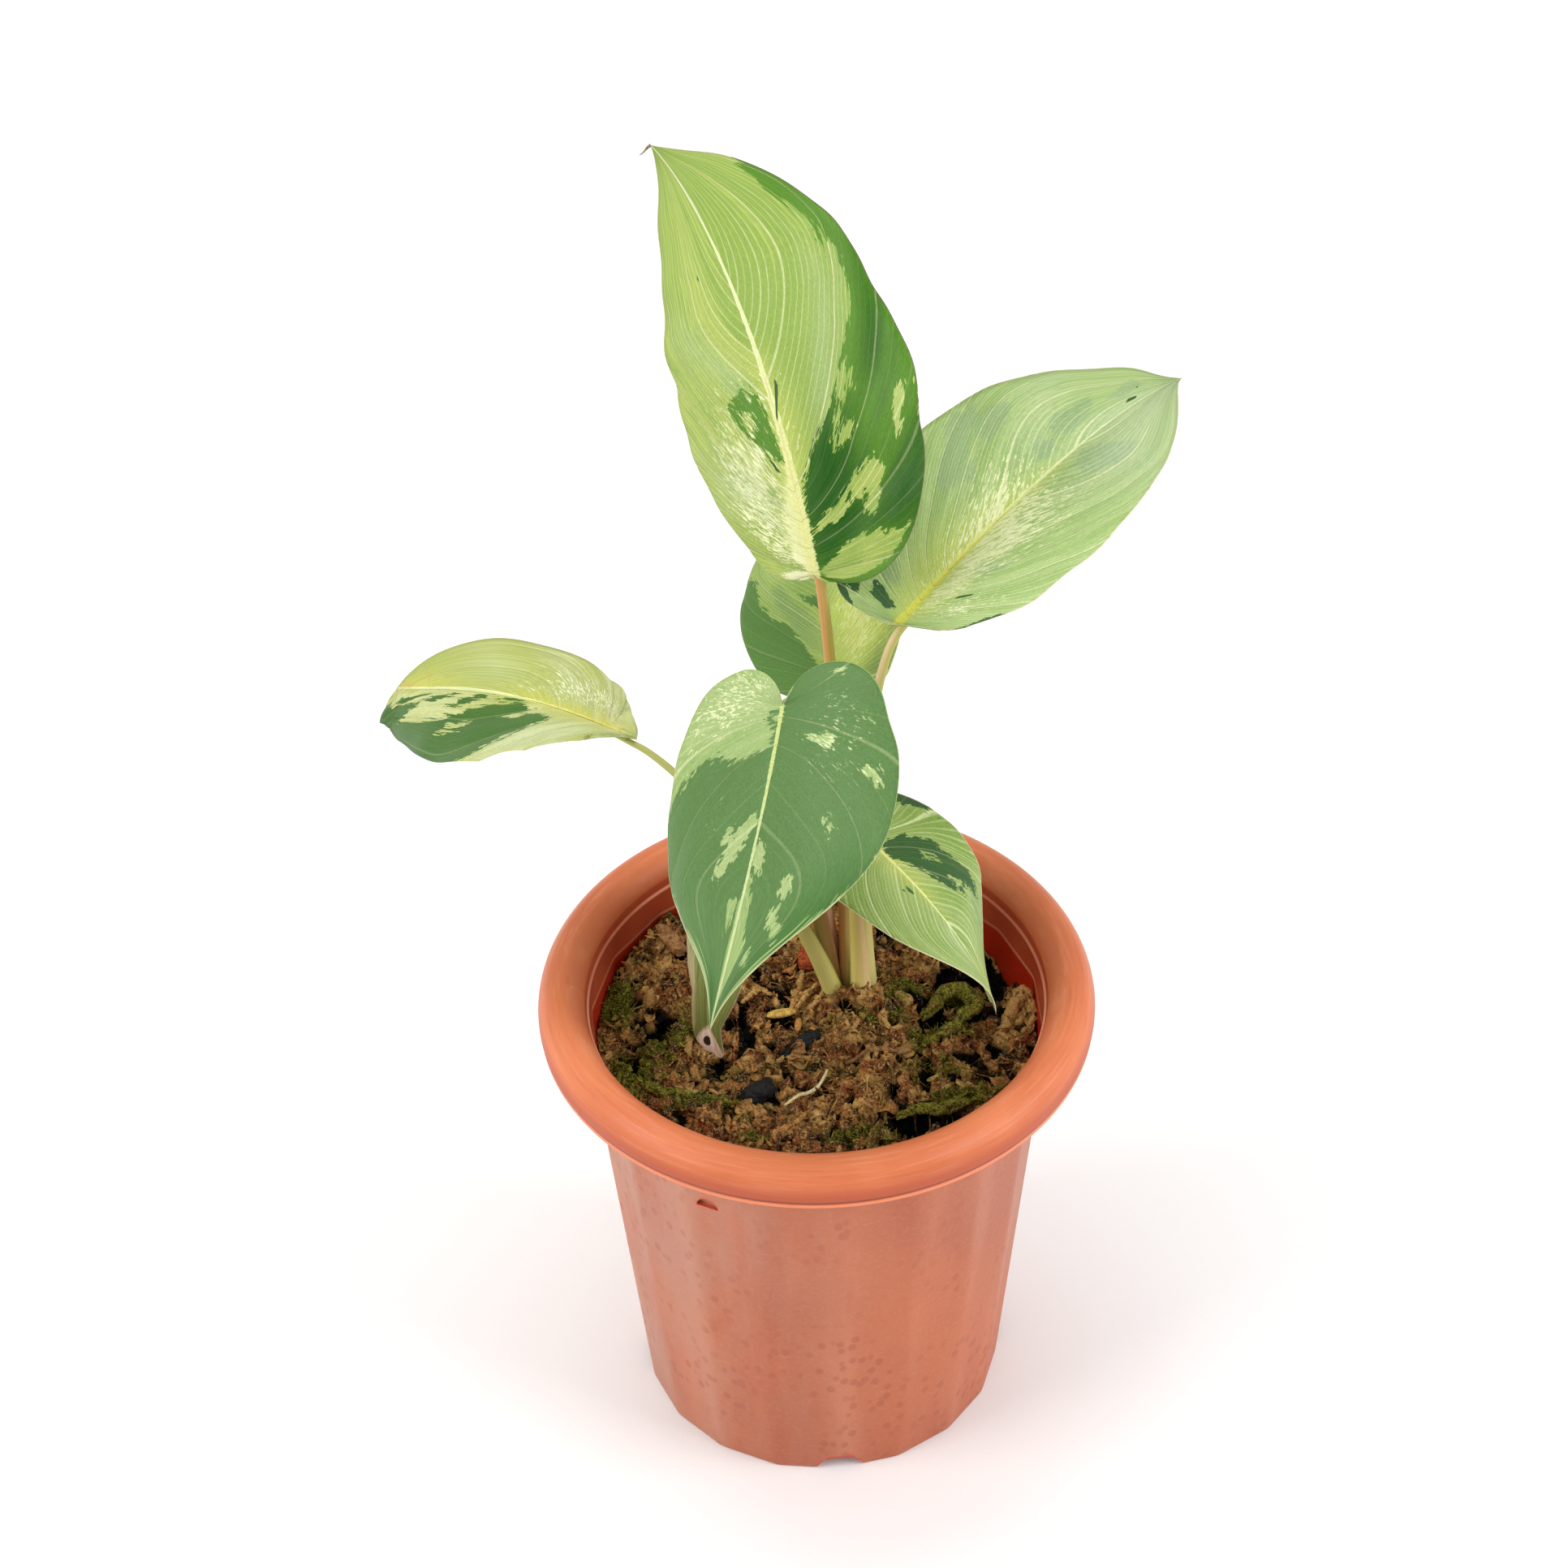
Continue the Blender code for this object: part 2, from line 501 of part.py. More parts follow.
def build_bit(name, bit, ground, collection):
    """A loose bit: an ellipsoid for a hull, a rough block for bark and charcoal."""
    length, width, thickness = bit["size"]
    kind = name.split("_")[0]
    bm = bmesh.new()
    if name.startswith("rice"):
        kind = "hull"
        bmesh.ops.create_uvsphere(bm, u_segments=12, v_segments=6, radius=0.5)
    else:
        bmesh.ops.create_cube(bm, size=1.0)
        bmesh.ops.subdivide_edges(bm, edges=bm.edges, cuts=2, use_grid_fill=True)
    turn = math.radians(bit["turn"])
    for vert in bm.verts:
        x, y, z = vert.co
        rough = 0.0 if kind == "hull" else 0.10
        x += rough * math.sin(9 * y + 5 * z + length)
        y += rough * math.sin(8 * x + 4 * z + width)
        z += rough * math.sin(7 * x + 6 * y)
        x, y, z = x * length, y * width, z * thickness
        vert.co = Vector((bit["at"][0] + x * math.cos(turn) - y * math.sin(turn),
                          bit["at"][1] + x * math.sin(turn) + y * math.cos(turn), BIT_HEIGHT + z)) * MM
    obj = mesh_object(name, bm, collection)
    seat(obj, ground)
    return finish(obj, kind)


def build_strand(name, strand, ground, collection):
    """A root or twig that follows the top of the mix."""
    knots = np.array(strand["points"], float)
    line = bezier(knots, np.linspace(0, 1, 12))
    radius = strand["radius"]
    heights = []
    for x, y in line:
        hit = ground.ray_cast(Vector((x, y, RIM_TOP)) * MM, Vector((0, 0, -1)))[0]
        heights.append(hit.z / MM)
    heights = np.convolve(np.pad(heights, 2, mode="edge"), np.ones(5) / 5, "valid")
    points = np.column_stack([line, heights + 4 * radius])
    obj = build_tube(name, points, np.full(len(points), radius), "root", collection)
    seat(obj, ground)
    return obj


def main():
    """Build the pot, the mix, the crown, the leaves and the loose bits."""
    clear_scene()
    plant = new_collection("potted_homalomena")
    cutters = new_collection("cutters")
    build_pot(plant, cutters)
    soil = build_soil(plant, cutters)
    build_crown(plant)
    for name, leaf in LEAVES.items():
        build_leaf(name, leaf, plant)
    ground = BVHTree.FromObject(soil, bpy.context.evaluated_depsgraph_get())
    for name, bit in BITS.items():
        build_bit(name, bit, ground, plant)
    for name, strand in STRANDS.items():
        build_strand(name, strand, ground, plant)
    for obj in plant.objects:
        obj.data.shade_smooth()
        obj.data.set_sharp_from_angle(angle=math.radians(40))


main()
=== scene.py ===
# %% [markdown]
# # A potted homalomena, seven variegated leaves in a nursery pot
# The solid model is loaded first and never changed. Every visible piece below is a finer surface
# that takes the place of one solid, in the same place and at the same size, and gets its own
# finish. All shapes are worked out in millimetres and turned into metres when the mesh is made.

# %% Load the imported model
import math

import bmesh
import bpy
import numpy as np
from mathutils import Matrix, Vector


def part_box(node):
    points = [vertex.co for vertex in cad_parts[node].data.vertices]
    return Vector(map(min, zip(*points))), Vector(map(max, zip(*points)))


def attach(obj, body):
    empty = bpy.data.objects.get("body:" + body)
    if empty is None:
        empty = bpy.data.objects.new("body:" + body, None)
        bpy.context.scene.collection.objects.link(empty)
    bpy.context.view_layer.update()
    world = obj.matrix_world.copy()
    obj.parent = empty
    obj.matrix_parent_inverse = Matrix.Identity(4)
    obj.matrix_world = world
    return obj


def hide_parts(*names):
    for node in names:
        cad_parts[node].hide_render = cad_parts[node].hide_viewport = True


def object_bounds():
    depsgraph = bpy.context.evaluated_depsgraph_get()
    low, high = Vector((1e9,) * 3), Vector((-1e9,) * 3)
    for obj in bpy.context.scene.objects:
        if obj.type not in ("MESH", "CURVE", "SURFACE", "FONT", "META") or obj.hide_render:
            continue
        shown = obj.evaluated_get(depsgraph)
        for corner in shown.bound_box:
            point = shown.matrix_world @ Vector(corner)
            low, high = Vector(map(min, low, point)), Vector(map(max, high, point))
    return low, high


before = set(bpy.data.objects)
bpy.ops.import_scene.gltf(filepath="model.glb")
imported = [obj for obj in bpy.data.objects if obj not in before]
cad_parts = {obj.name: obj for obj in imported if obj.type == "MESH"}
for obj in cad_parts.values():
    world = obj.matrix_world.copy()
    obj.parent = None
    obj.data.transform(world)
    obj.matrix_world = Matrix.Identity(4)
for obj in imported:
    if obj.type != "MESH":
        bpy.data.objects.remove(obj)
cad_box = [list(corner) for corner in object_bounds()]
print("solids:", len(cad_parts), "box:", cad_box)

# %% [markdown]
# ## From numbers to meshes
# A leaf, a pot wall and a moss strand are all grids of points: rows one way, columns the other.
# Blender could build them with operators, but a grid worked out as one numpy array is faster and
# can be reused for every shape. The helper below lays quads on such a grid. Where a row shrinks to
# one point, as at a leaf's tip, the doubles are merged, so that the pole is closed.

# %% Grid and mesh helpers
MM = 0.001
MERGE = 0.000002               # metres within which corners become one


def grid_faces(rows, columns, round_rows=False, round_columns=False):
    """Quads of a rows x columns grid: (r, c), (r, c + 1), (r + 1, c + 1), (r + 1, c)."""
    r = np.arange(rows if round_rows else rows - 1)[:, None]
    c = np.arange(columns if round_columns else columns - 1)[None, :]
    up, over = (r + 1) % rows, (c + 1) % columns
    corners = [r * columns + c, r * columns + over, up * columns + over, up * columns + c]
    return np.stack(corners, -1).reshape(-1, 4)


def make_piece(name, points, faces, uv=None, fields=None, merge=True, smooth=True):
    """A mesh object from points in mm and arrays of faces, one array per number of corners.

    uv is one pair per point; fields maps an attribute's name to four numbers per point.
    """
    points = np.asarray(points, float).reshape(-1, 3)
    corners = np.concatenate([f.ravel() for f in faces]).astype(np.int32)
    sizes = np.concatenate([np.full(len(f), f.shape[1]) for f in faces])
    mesh = bpy.data.meshes.new(name)
    mesh.vertices.add(len(points))
    mesh.vertices.foreach_set("co", (points * MM).astype(np.float32).ravel())
    mesh.loops.add(len(corners))
    mesh.loops.foreach_set("vertex_index", corners)
    mesh.polygons.add(len(sizes))
    mesh.polygons.foreach_set("loop_start", (np.cumsum(sizes) - sizes).astype(np.int32))
    if uv is not None:
        layer = mesh.uv_layers.new(name="UVMap")
        pairs = np.asarray(uv, np.float32).reshape(-1, 2)[corners]
        layer.data.foreach_set("uv", pairs.ravel())
    for label, values in (fields or {}).items():
        attribute = mesh.attributes.new(label, "FLOAT_COLOR", "POINT")
        attribute.data.foreach_set("color", np.asarray(values, np.float32).reshape(-1, 4).ravel())
    mesh.update(calc_edges=True)
    mesh.validate()
    if merge:
        bm = bmesh.new()
        bm.from_mesh(mesh)
        bmesh.ops.remove_doubles(bm, verts=bm.verts, dist=MERGE)
        bm.to_mesh(mesh)
        bm.free()
    mesh.polygons.foreach_set("use_smooth", np.full(len(mesh.polygons), smooth))
    obj = bpy.data.objects.new(name, mesh)
    bpy.context.scene.collection.objects.link(obj)
    return obj


def place(obj, material, slot, *solids):
    """The piece takes its finish, rides with the plant and stands for its solids."""
    obj.data.materials.append(material)
    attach(obj, "root")
    if solids:
        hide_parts(*solids)
    print(obj.name, len(obj.data.vertices), "points")
    return obj


def unit(vectors):
    """Vectors scaled to length one."""
    return vectors / np.maximum(np.linalg.norm(vectors, axis=-1, keepdims=True), 1e-12)


def side_by_side(*values):
    """Arrays and plain numbers brought to one shape and stacked on a last axis."""
    return np.stack(np.broadcast_arrays(*values), -1)


def bezier(points, t):
    """Cubic Bezier: (1-t)^3 a + 3(1-t)^2 t b + 3(1-t) t^2 c + t^3 d, for an array of t."""
    a, b, c, d = (np.asarray(p, float) for p in points)
    t = np.asarray(t, float)[..., None]
    return (1 - t) ** 3 * a + 3 * (1 - t) ** 2 * t * b + 3 * (1 - t) * t ** 2 * c + t ** 3 * d


def smooth_step(low, high, value):
    """0 below low, 1 above high, 3s^2 - 2s^3 in between."""
    s = np.clip((value - low) / (high - low), 0, 1)
    return s * s * (3 - 2 * s)


def bumps(x, y, seed):
    """Smooth noise from 0 to 1: random numbers at whole (x, y), blended by 3s^2 - 2s^3."""
    table = np.random.default_rng(seed).random((64, 64))
    i, j = np.floor(x).astype(int), np.floor(y).astype(int)
    a, b = smooth_step(0, 1, x - i), smooth_step(0, 1, y - j)
    i, j, k, m = i % 64, j % 64, (i + 1) % 64, (j + 1) % 64
    low = table[i, j] * (1 - a) + table[k, j] * a
    high = table[i, m] * (1 - a) + table[k, m] * a
    return low * (1 - b) + high * b

# %% [markdown]
# ## Camera, light and floor
# The photograph was taken with a long lens from about 40 degrees above, close to straight on.
# The camera's place was solved from points on the pot's rim and foot, so that the solids fall on
# the photograph. Soft white light comes from all round, with a large softbox on either side and one
# above, as in a product studio. The floor is plain and pale.

# %% Camera, light and floor
CAMERA_PLACE = (0.0, -1141.68, 1220.5)      # mm
CAMERA_DOWN, CAMERA_YAW, CAMERA_ROLL = 41.098, -0.397, -1.306   # degrees
CAMERA_LENS, CAMERA_SENSOR, CAMERA_REACH = 125.38, 36.0, 50.0   # mm, mm, metres
FLOOR_SIZE, FLOOR_DROP = 9000.0, -0.02      # mm
SKY, FLOOR_GLOW = 0.52, 0.07
LOOK_AT = (0.0, 0.0, 0.2)      # metres: the middle of the plant
LIGHTS = {                     # place in metres, size, power in watts, colour
    "left_box": ((-2.0, -0.8, 1.5), 1.4, 32.0, (1.0, 0.985, 0.96)),
    "right_box": ((2.0, -0.7, 1.4), 1.4, 34.0, (0.985, 0.99, 1.0)),
    "top_box": ((-0.3, 0.7, 2.6), 1.6, 26.0, (1.0, 1.0, 1.0)),
}


def aim_camera():
    """Camera axes: look down and to the side, then roll about the line of sight."""
    down, yaw, roll = (math.radians(a) for a in (CAMERA_DOWN, CAMERA_YAW, CAMERA_ROLL))
    ahead = Vector((math.sin(yaw) * math.cos(down), math.cos(yaw) * math.cos(down), -math.sin(down)))
    level = Vector((math.cos(yaw), -math.sin(yaw), 0.0))
    above = level.cross(ahead)
    right = math.cos(roll) * level + math.sin(roll) * above
    top = math.cos(roll) * above - math.sin(roll) * level
    data = bpy.data.cameras.new("camera")
    data.lens = CAMERA_LENS
    data.sensor_width = CAMERA_SENSOR
    data.clip_end = CAMERA_REACH
    camera = bpy.data.objects.new("camera", data)
    turn = Matrix((right, top, -ahead)).transposed().to_4x4()
    camera.matrix_world = Matrix.Translation(Vector(CAMERA_PLACE) * MM) @ turn
    bpy.context.scene.collection.objects.link(camera)
    bpy.context.scene.camera = camera
    print("camera", CAMERA_PLACE, "mm, looks down", CAMERA_DOWN, "degrees")


def soft_light(name, place_at, size, power, tint):
    """A square area light that looks at the middle of the plant."""
    data = bpy.data.lights.new(name, "AREA")
    data.size = size
    data.energy = power
    data.color = tint
    lamp = bpy.data.objects.new(name, data)
    lamp.location = place_at
    towards = Vector(LOOK_AT) - Vector(place_at)
    lamp.rotation_euler = towards.to_track_quat("-Z", "Y").to_euler()
    bpy.context.scene.collection.objects.link(lamp)
    print(name, power, "W")


aim_camera()
for name, light in LIGHTS.items():
    soft_light(name, *light)
world = bpy.data.worlds.new("studio")
world.use_nodes = True
world.node_tree.nodes["Background"].inputs["Color"].default_value = (1.0, 1.0, 1.0, 1.0)
world.node_tree.nodes["Background"].inputs["Strength"].default_value = SKY
bpy.context.scene.world = world
bpy.context.scene.view_settings.view_transform = "Standard"

# %% [markdown]
# ## Shader helpers
# A finish is a tree of shader nodes. The helpers below add one node each and return its output,
# so that a finish reads like a formula. A pattern that several finishes share becomes a node group
# with named inputs and outputs; the Principled shader stays in each material.


# %% Nodes and links
def add_node(tree, kind, inputs=None, **settings):
    """A node with its settings; an input is a socket to link from or a value to set."""
    node = tree.nodes.new(kind)
    for key, value in settings.items():
        setattr(node, key, value)
    for key, value in (inputs or {}).items():
        socket = node.inputs[key]
        if isinstance(value, bpy.types.NodeSocket):
            tree.links.new(value, socket)
        elif socket.type == "RGBA":
            socket.default_value = (*value, 1.0)
        else:
            socket.default_value = value
    return node


def tree_of(*values):
    """The tree of the first socket among some values."""
    return next(value.id_data for value in values if isinstance(value, bpy.types.NodeSocket))


def feed(sockets, **values):
    """Links to sockets by their names, with _ for a space."""
    for label, value in values.items():
        tree_of(value).links.new(value, sockets[label.replace("_", " ")])


def channels(tree, label):
    """The four numbers of an attribute: red, green, blue, alpha."""
    node = add_node(tree, "ShaderNodeAttribute", attribute_name=label)
    split = add_node(tree, "ShaderNodeSeparateColor", {"Color": node.outputs["Color"]})
    return (*split.outputs[:3], node.outputs["Alpha"])


def object_place(tree):
    """Object coordinates in metres."""
    return add_node(tree, "ShaderNodeTexCoord").outputs["Object"]


def new_group(name, colours, numbers, outputs):
    """A node group with inputs for colours and numbers; outputs map a name to Color or Float."""
    tree = bpy.data.node_groups.new(name, "ShaderNodeTree")
    inputs = {**dict.fromkeys(colours, "Color"), **dict.fromkeys(numbers, "Float")}
    for direction, sockets in (("INPUT", inputs), ("OUTPUT", outputs)):
        for label, kind in sockets.items():
            tree.interface.new_socket(label, in_out=direction, socket_type="NodeSocket" + kind)
    return tree, tree.nodes.new("NodeGroupInput").outputs, tree.nodes.new("NodeGroupOutput").inputs


def new_finish(name, roughness, **constants):
    """A material with one Principled shader whose plain values are set on its own sockets."""
    material = bpy.data.materials.new(name)
    material.use_nodes = True
    shader = material.node_tree.nodes["Principled BSDF"].inputs
    shader["Roughness"].default_value = roughness
    for label, value in constants.items():
        shader[label.replace("_", " ")].default_value = value
    return material, material.node_tree, shader


# %% Numbers and colours in a shader
def calc(operation, a, b=0.0, c=0.0):
    """One arithmetic step on numbers."""
    return add_node(tree_of(a, b, c), "ShaderNodeMath", {0: a, 1: b, 2: c}, operation=operation).outputs[0]


def times(a, b):
    """a b"""
    return calc("MULTIPLY", a, b)


def times_plus(a, b, c):
    """a b + c"""
    return calc("MULTIPLY_ADD", a, b, c)


def total(first, *others):
    """The sum of some numbers."""
    for value in others:
        first = calc("ADD", first, value)
    return first


def centred(value, amount):
    """(value - 0.5) amount, for noise that should push both ways."""
    return times(calc("SUBTRACT", value, 0.5), amount)


def ease(value, low, high, start=0.0, end=1.0):
    """Smooth step from start at low to end at high."""
    inputs = {"Value": value, "From Min": low, "From Max": high, "To Min": start, "To Max": end}
    node = add_node(tree_of(value), "ShaderNodeMapRange", inputs, interpolation_type="SMOOTHSTEP")
    return node.outputs["Result"]


def colour(red, green, blue):
    """A colour read off a screen, 0 to 255, as the linear values that shaders use."""
    s = np.array([red, green, blue]) / 255.0
    return tuple(float(v) for v in np.where(s <= 0.04045, s / 12.92, ((s + 0.055) / 1.055) ** 2.4))


def blend(mask, a, b, mode="MIX"):
    """Colour a where the mask is 0, b where it is 1; a plain colour is three numbers, 0 to 255."""
    a, b = (tone if isinstance(tone, bpy.types.NodeSocket) else colour(*tone) for tone in (a, b))
    return add_node(tree_of(mask, a, b), "ShaderNodeMix", {0: mask, 6: a, 7: b}, data_type="RGBA",
                    blend_type=mode, clamp_factor=True).outputs[2]


def layers(tone, *rows):
    """Tints laid over a tone in turn: a value, where it starts and is full, how strong, the tint."""
    for value, low, high, strength, tint in rows:
        tone = blend(ease(value, low, high, 0.0, strength), tone, tint)
    return tone


def stretched(vector, scale, shift=(0.0, 0.0, 0.0)):
    """A vector scaled along each axis and shifted."""
    inputs = {"Vector": vector, "Scale": scale, "Location": shift}
    return add_node(tree_of(vector), "ShaderNodeMapping", inputs).outputs["Vector"]


def grain(vector, scale, detail=3.0, roughness=0.5, bend=0.0):
    """Noise, about 0.5 in the middle."""
    inputs = {"Vector": vector, "Scale": scale, "Detail": detail, "Roughness": roughness,
              "Distortion": bend}
    return add_node(tree_of(vector), "ShaderNodeTexNoise", inputs).outputs["Fac"]


def relief(shader, height, depth):
    """Small bumps: a height map, one unit high at depth metres, into the shader's normal."""
    inputs = {"Height": height, "Distance": depth, "Strength": 1.0}
    feed(shader, Normal=add_node(tree_of(height), "ShaderNodeBump", inputs).outputs["Normal"])


# %% Floor
def build_floor():
    """A square grid on the ground, paper that is 90 to 93 percent white."""
    side = np.linspace(-FLOOR_SIZE / 2, FLOOR_SIZE / 2, 9)
    x, y = np.meshgrid(side, side)
    floor = make_piece("floor", side_by_side(x, y, FLOOR_DROP), [grid_faces(9, 9)])
    material, tree, shader = new_finish("pale_paper", 0.9, Specular_IOR_Level=0.1,
                                        Emission_Strength=FLOOR_GLOW)
    pale = times_plus(grain(object_place(tree), 900.0, 2.0), 0.03, 0.90)
    feed(shader, Base_Color=pale, Emission_Color=pale)
    floor.data.materials.append(material)
    print("floor", FLOOR_SIZE, "mm")


build_floor()

# %% [markdown]
# ## The shape of a leaf blade
# A blade is a soft heart shape on a midrib that bends, turns and rolls. It could be sculpted, but
# a formula keeps it equal to the solid. A point has two numbers: u runs along the edge, from the
# notch at the petiole (0) round the lobe to the tip (1), and t runs across, from the left edge (-1)
# over the midrib (0) to the right edge (1). Lines of equal u leave the midrib at a slant, as the
# leaf's side veins do. The veins themselves sweep further forward and run together in the tip, so
# a last formula tells for every place which vein passes it. The sizes are those of the solids.

# %% Leaf sizes
CROWN_X, CROWN_Y, CROWN_TOP = 9.3, 21.0, 126.2
BLADE, GAP = 0.8, 0.3          # the solid's blade thickness and the room that it leaves
PETIOLE_FOOT_RADIUS = 2.2
LOBE_END, WIDEST_END = 0.20, 0.465          # the u where the edge's first two arcs end
VEINS_START, VEINS_CROWDED = 0.24, 2.1      # lines of equal u leave the midrib closer near its base
ROUND = 0.5523                 # where a Bezier's handle makes a quarter circle
LEAVES = {f"leaf_{number}": {} for number in range(1, 8)}


def tell_leaves(**rows):
    """Every row holds one entry for each of the leaves 1 to 7."""
    for label, row in rows.items():
        for leaf, entry in zip(LEAVES.values(), row):
            leaf[label] = entry


tell_leaves(                   # mm, degrees and shares
    length=(149, 131, 100, 101, 98, 67, 93),
    left=(35, 36, 25.5, 36.5, 36, 30, 16), right=(43, 38, 26.5, 33, 35, 29, 10),
    widest=(0.30, 0.33, 0.34, 0.26, 0.34, 0.34, 0.36),
    lobe_left=(2, 4, 1, -4, 15, 12.8, 8), lobe_right=(2, -2, 4, -8, 13.5, 11.7, 8),
    lobe_at=(0.25, 0.41, 0.39, 0.27, 0.43, 0.45, 0.45),
    shoulder=(0.54, 0.52, 0.49, 0.35, 0.51, 0.46, 0.52), tip=(0.26, 0.18, 0.32, 0.03, 0.35, 0.34, 0.26),
    blunt=(0, 0, 0, 0, 0, 0, 5.4),
    fold=(-3, 23, 15, 5.8, 4, 8, 10),
    curl_left=(9, 17, 16, 20.7, 40, 7, 12), curl_right=(15, 17, 12, 21.7, 38, 26, 18),
    pitch=(67, 20, 24, 5.6, -15, -7, -47), arch=(81, 38, 45, 65.3, 30, 69, 59),
    arch_power=(1.35, 1.6, 0.6, 1.55, 1.7, 1.43, 1.5),
    heading=(-25, 45, -4, -61.2, 189, 140.5, 210), sweep=(4, -8, -2, 7.3, 12, -16, -2),
    roll=(60, 4, 21, -39.5, -12, 14, -10), twist=(-17, -14, 5, 85.5, -25, 36, 0),
    base=((1.5, 45.0, 262.5), (25.0, 35.0, 252.3), (7.0, 45.6, 220.0), (-48.9, 18.2, 226.3),
          (-7.8, 0.3, 252.9), (14.3, 7.4, 198.2), (-14.9, 6.5, 223.3)),
    foot=((0.4, 1.0), (5.4, 2.4), (0.6, 6.2), (-3.8, -4.6), (-4.2, 5.2), (3.6, -4.0), (-4.6, 0.3)),
    lean=((0.0, 0.1), (-0.06, 0.1), (0.0, 0.1), (-0.25, 0.0), (-0.1, 0.0), (0.0, 0.0), (-0.1, 0.0)),
    neck=(1.5, 1.2, 1.55, 0.9, 1.55, 1.55, 1.55))
for name, leaf in LEAVES.items():
    print(name, leaf["length"], "mm long,", leaf["left"] + leaf["right"], "mm wide")


# %% Blade edge
def margin(leaf, side, u):
    """The blade's edge in the flat: three Bezier arcs, sinus, lobe and point, one after another."""
    half, lobe = (leaf["left"], leaf["lobe_left"]) if side < 0 else (leaf["right"], leaf["lobe_right"])
    length = leaf["length"]
    widest = leaf["widest"] * length
    back = leaf["lobe_at"] * half
    rest = length - widest
    sinus = bezier(((0, 0), (0.1 * back, -0.55 * lobe), (0.45 * back, -lobe), (back, -lobe)),
                   np.clip(u / LOBE_END, 0, 1))
    belly = bezier(((back, -lobe), (back + (half - back) * ROUND, -lobe),
                    (half, widest - (widest + lobe) * ROUND), (half, widest)),
                   np.clip((u - LOBE_END) / (WIDEST_END - LOBE_END), 0, 1))
    point = bezier(((half, widest), (half, widest + rest * leaf["shoulder"]),
                    (half * leaf["tip"] / 2, length - rest * leaf["tip"]), (0, length)),
                   np.clip((u - WIDEST_END) / (1 - WIDEST_END), 0, 1))
    along = np.clip((point[..., 1] / length - 0.88) / 0.12, 0, 1)
    blunt = leaf["blunt"] * np.sqrt(1 - along ** 4) * (point[..., 1] > length / 2)
    point[..., 0] = np.maximum(point[..., 0], blunt)
    u = u[..., None]
    return np.where(u < LOBE_END, sinus, np.where(u < WIDEST_END, belly, point))


NUDGES = {                     # side, where u, reach in u, mm outward: seen along the real edges
    "leaf_1": [(1, 0.55, 0.02, -1.3), (1, 0.48, 0.025, 1.4), (1, 0.62, 0.03, 0.8), (1, 0.435, 0.012, -0.6),
               (-1, 0.41, 0.04, 1.4), (-1, 0.66, 0.03, -0.7)],
    "leaf_2": [(-1, 0.85, 0.05, 1.0), (1, 0.53, 0.05, -1.3), (1, 0.28, 0.04, -0.7)],
    "leaf_3": [(-1, 0.56, 0.05, -0.7)],
    "leaf_4": [(1, 0.60, 0.16, -2.2), (1, 0.26, 0.12, -4.2), (-1, 0.81, 0.05, 1.5), (-1, 0.43, 0.04, -0.9)],
    "leaf_5": [(1, 0.23, 0.04, -1.1), (-1, 0.34, 0.04, -1.3)],
    "leaf_6": [(-1, 0.36, 0.04, -1.1)],
}


def nudged(name, side, u):
    """The edge moved away from the blade's middle by a bell curve round each nudge."""
    edge = margin(LEAVES[name], side, u)
    middle = np.array([0.0, 0.4 * LEAVES[name]["length"]])
    shift = np.zeros(u.shape)
    for at_side, at, reach, amount in NUDGES.get(name, ()):
        if at_side == side:
            shift += amount * np.exp(-((u - at) / reach) ** 2)
    return edge + unit(edge - middle) * (shift * smooth_step(1.0, 0.97, u))[..., None]


tell_leaves(tip_turn=(0, 0, 0, 0.15, 0, 0, 0))    # the midrib ends this far round, on the right half


def blade_edge(name, u, t):
    """The flat edge point on the side of t, nudges included.

    Where the tip is turned, the left side runs on past the old tip and the right side ends before
    it; both catch up smoothly over the last part of u.
    """
    late = LEAVES[name]["tip_turn"] * smooth_step(0.35, 1.0, u)
    past = u + late
    left = nudged(name, -1, np.minimum(past, 1)) * np.array([-1, 1])
    over = nudged(name, 1, np.minimum(2 - past, 1))
    left = np.where((past > 1)[..., None], over, left)
    return np.where((t < 0)[..., None], left, nudged(name, 1, u - late))


# %% Blade surface
RIB_STEPS = 241


def midrib_frame(leaf, s):
    """Place, direction, right and face of the midrib at s mm from the blade's base.

    The heading, pitch and roll change along the midrib by powers of s / length, and the place is
    the sum of the steps taken in that direction.
    """
    length = leaf["length"]
    steps = np.linspace(-0.5 * length, length, RIB_STEPS)
    along = np.clip(steps / length, 1e-9, 1)
    heading = np.radians(leaf["heading"] + leaf["sweep"] * along ** 1.3)
    pitch = np.radians(leaf["pitch"] - leaf["arch"] * along ** leaf["arch_power"])
    roll = np.radians(leaf["roll"] + leaf["twist"] * along)[:, None]
    ahead = side_by_side(np.sin(heading) * np.cos(pitch), np.cos(heading) * np.cos(pitch), np.sin(pitch))
    above = side_by_side(-np.sin(heading) * np.sin(pitch), -np.cos(heading) * np.sin(pitch), np.cos(pitch))
    beside = side_by_side(np.cos(heading), -np.sin(heading), 0.0)
    right = np.cos(roll) * beside + np.sin(roll) * above
    face = np.cos(roll) * above - np.sin(roll) * beside
    move = (ahead[1:] + ahead[:-1]) / 2 * (steps[1] - steps[0])
    place_at = np.vstack([np.zeros(3), np.cumsum(move, 0)])
    place_at += np.array(leaf["base"]) - place_at[np.argmin(np.abs(steps))]
    return [np.stack([np.interp(s, steps, table[:, k]) for k in range(3)], -1)
            for table in (place_at, ahead, right, face)]


def rib_line(name, part):
    """Flat midrib at a share of its length: straight, or bent towards the turned tip."""
    tip = blade_edge(name, np.ones(1), np.ones(1))[0]
    return side_by_side(tip[0] * part ** 6, tip[1] * part)


tell_leaves(crowded_right=[3.4 if name == "leaf_4" else VEINS_CROWDED for name in LEAVES])


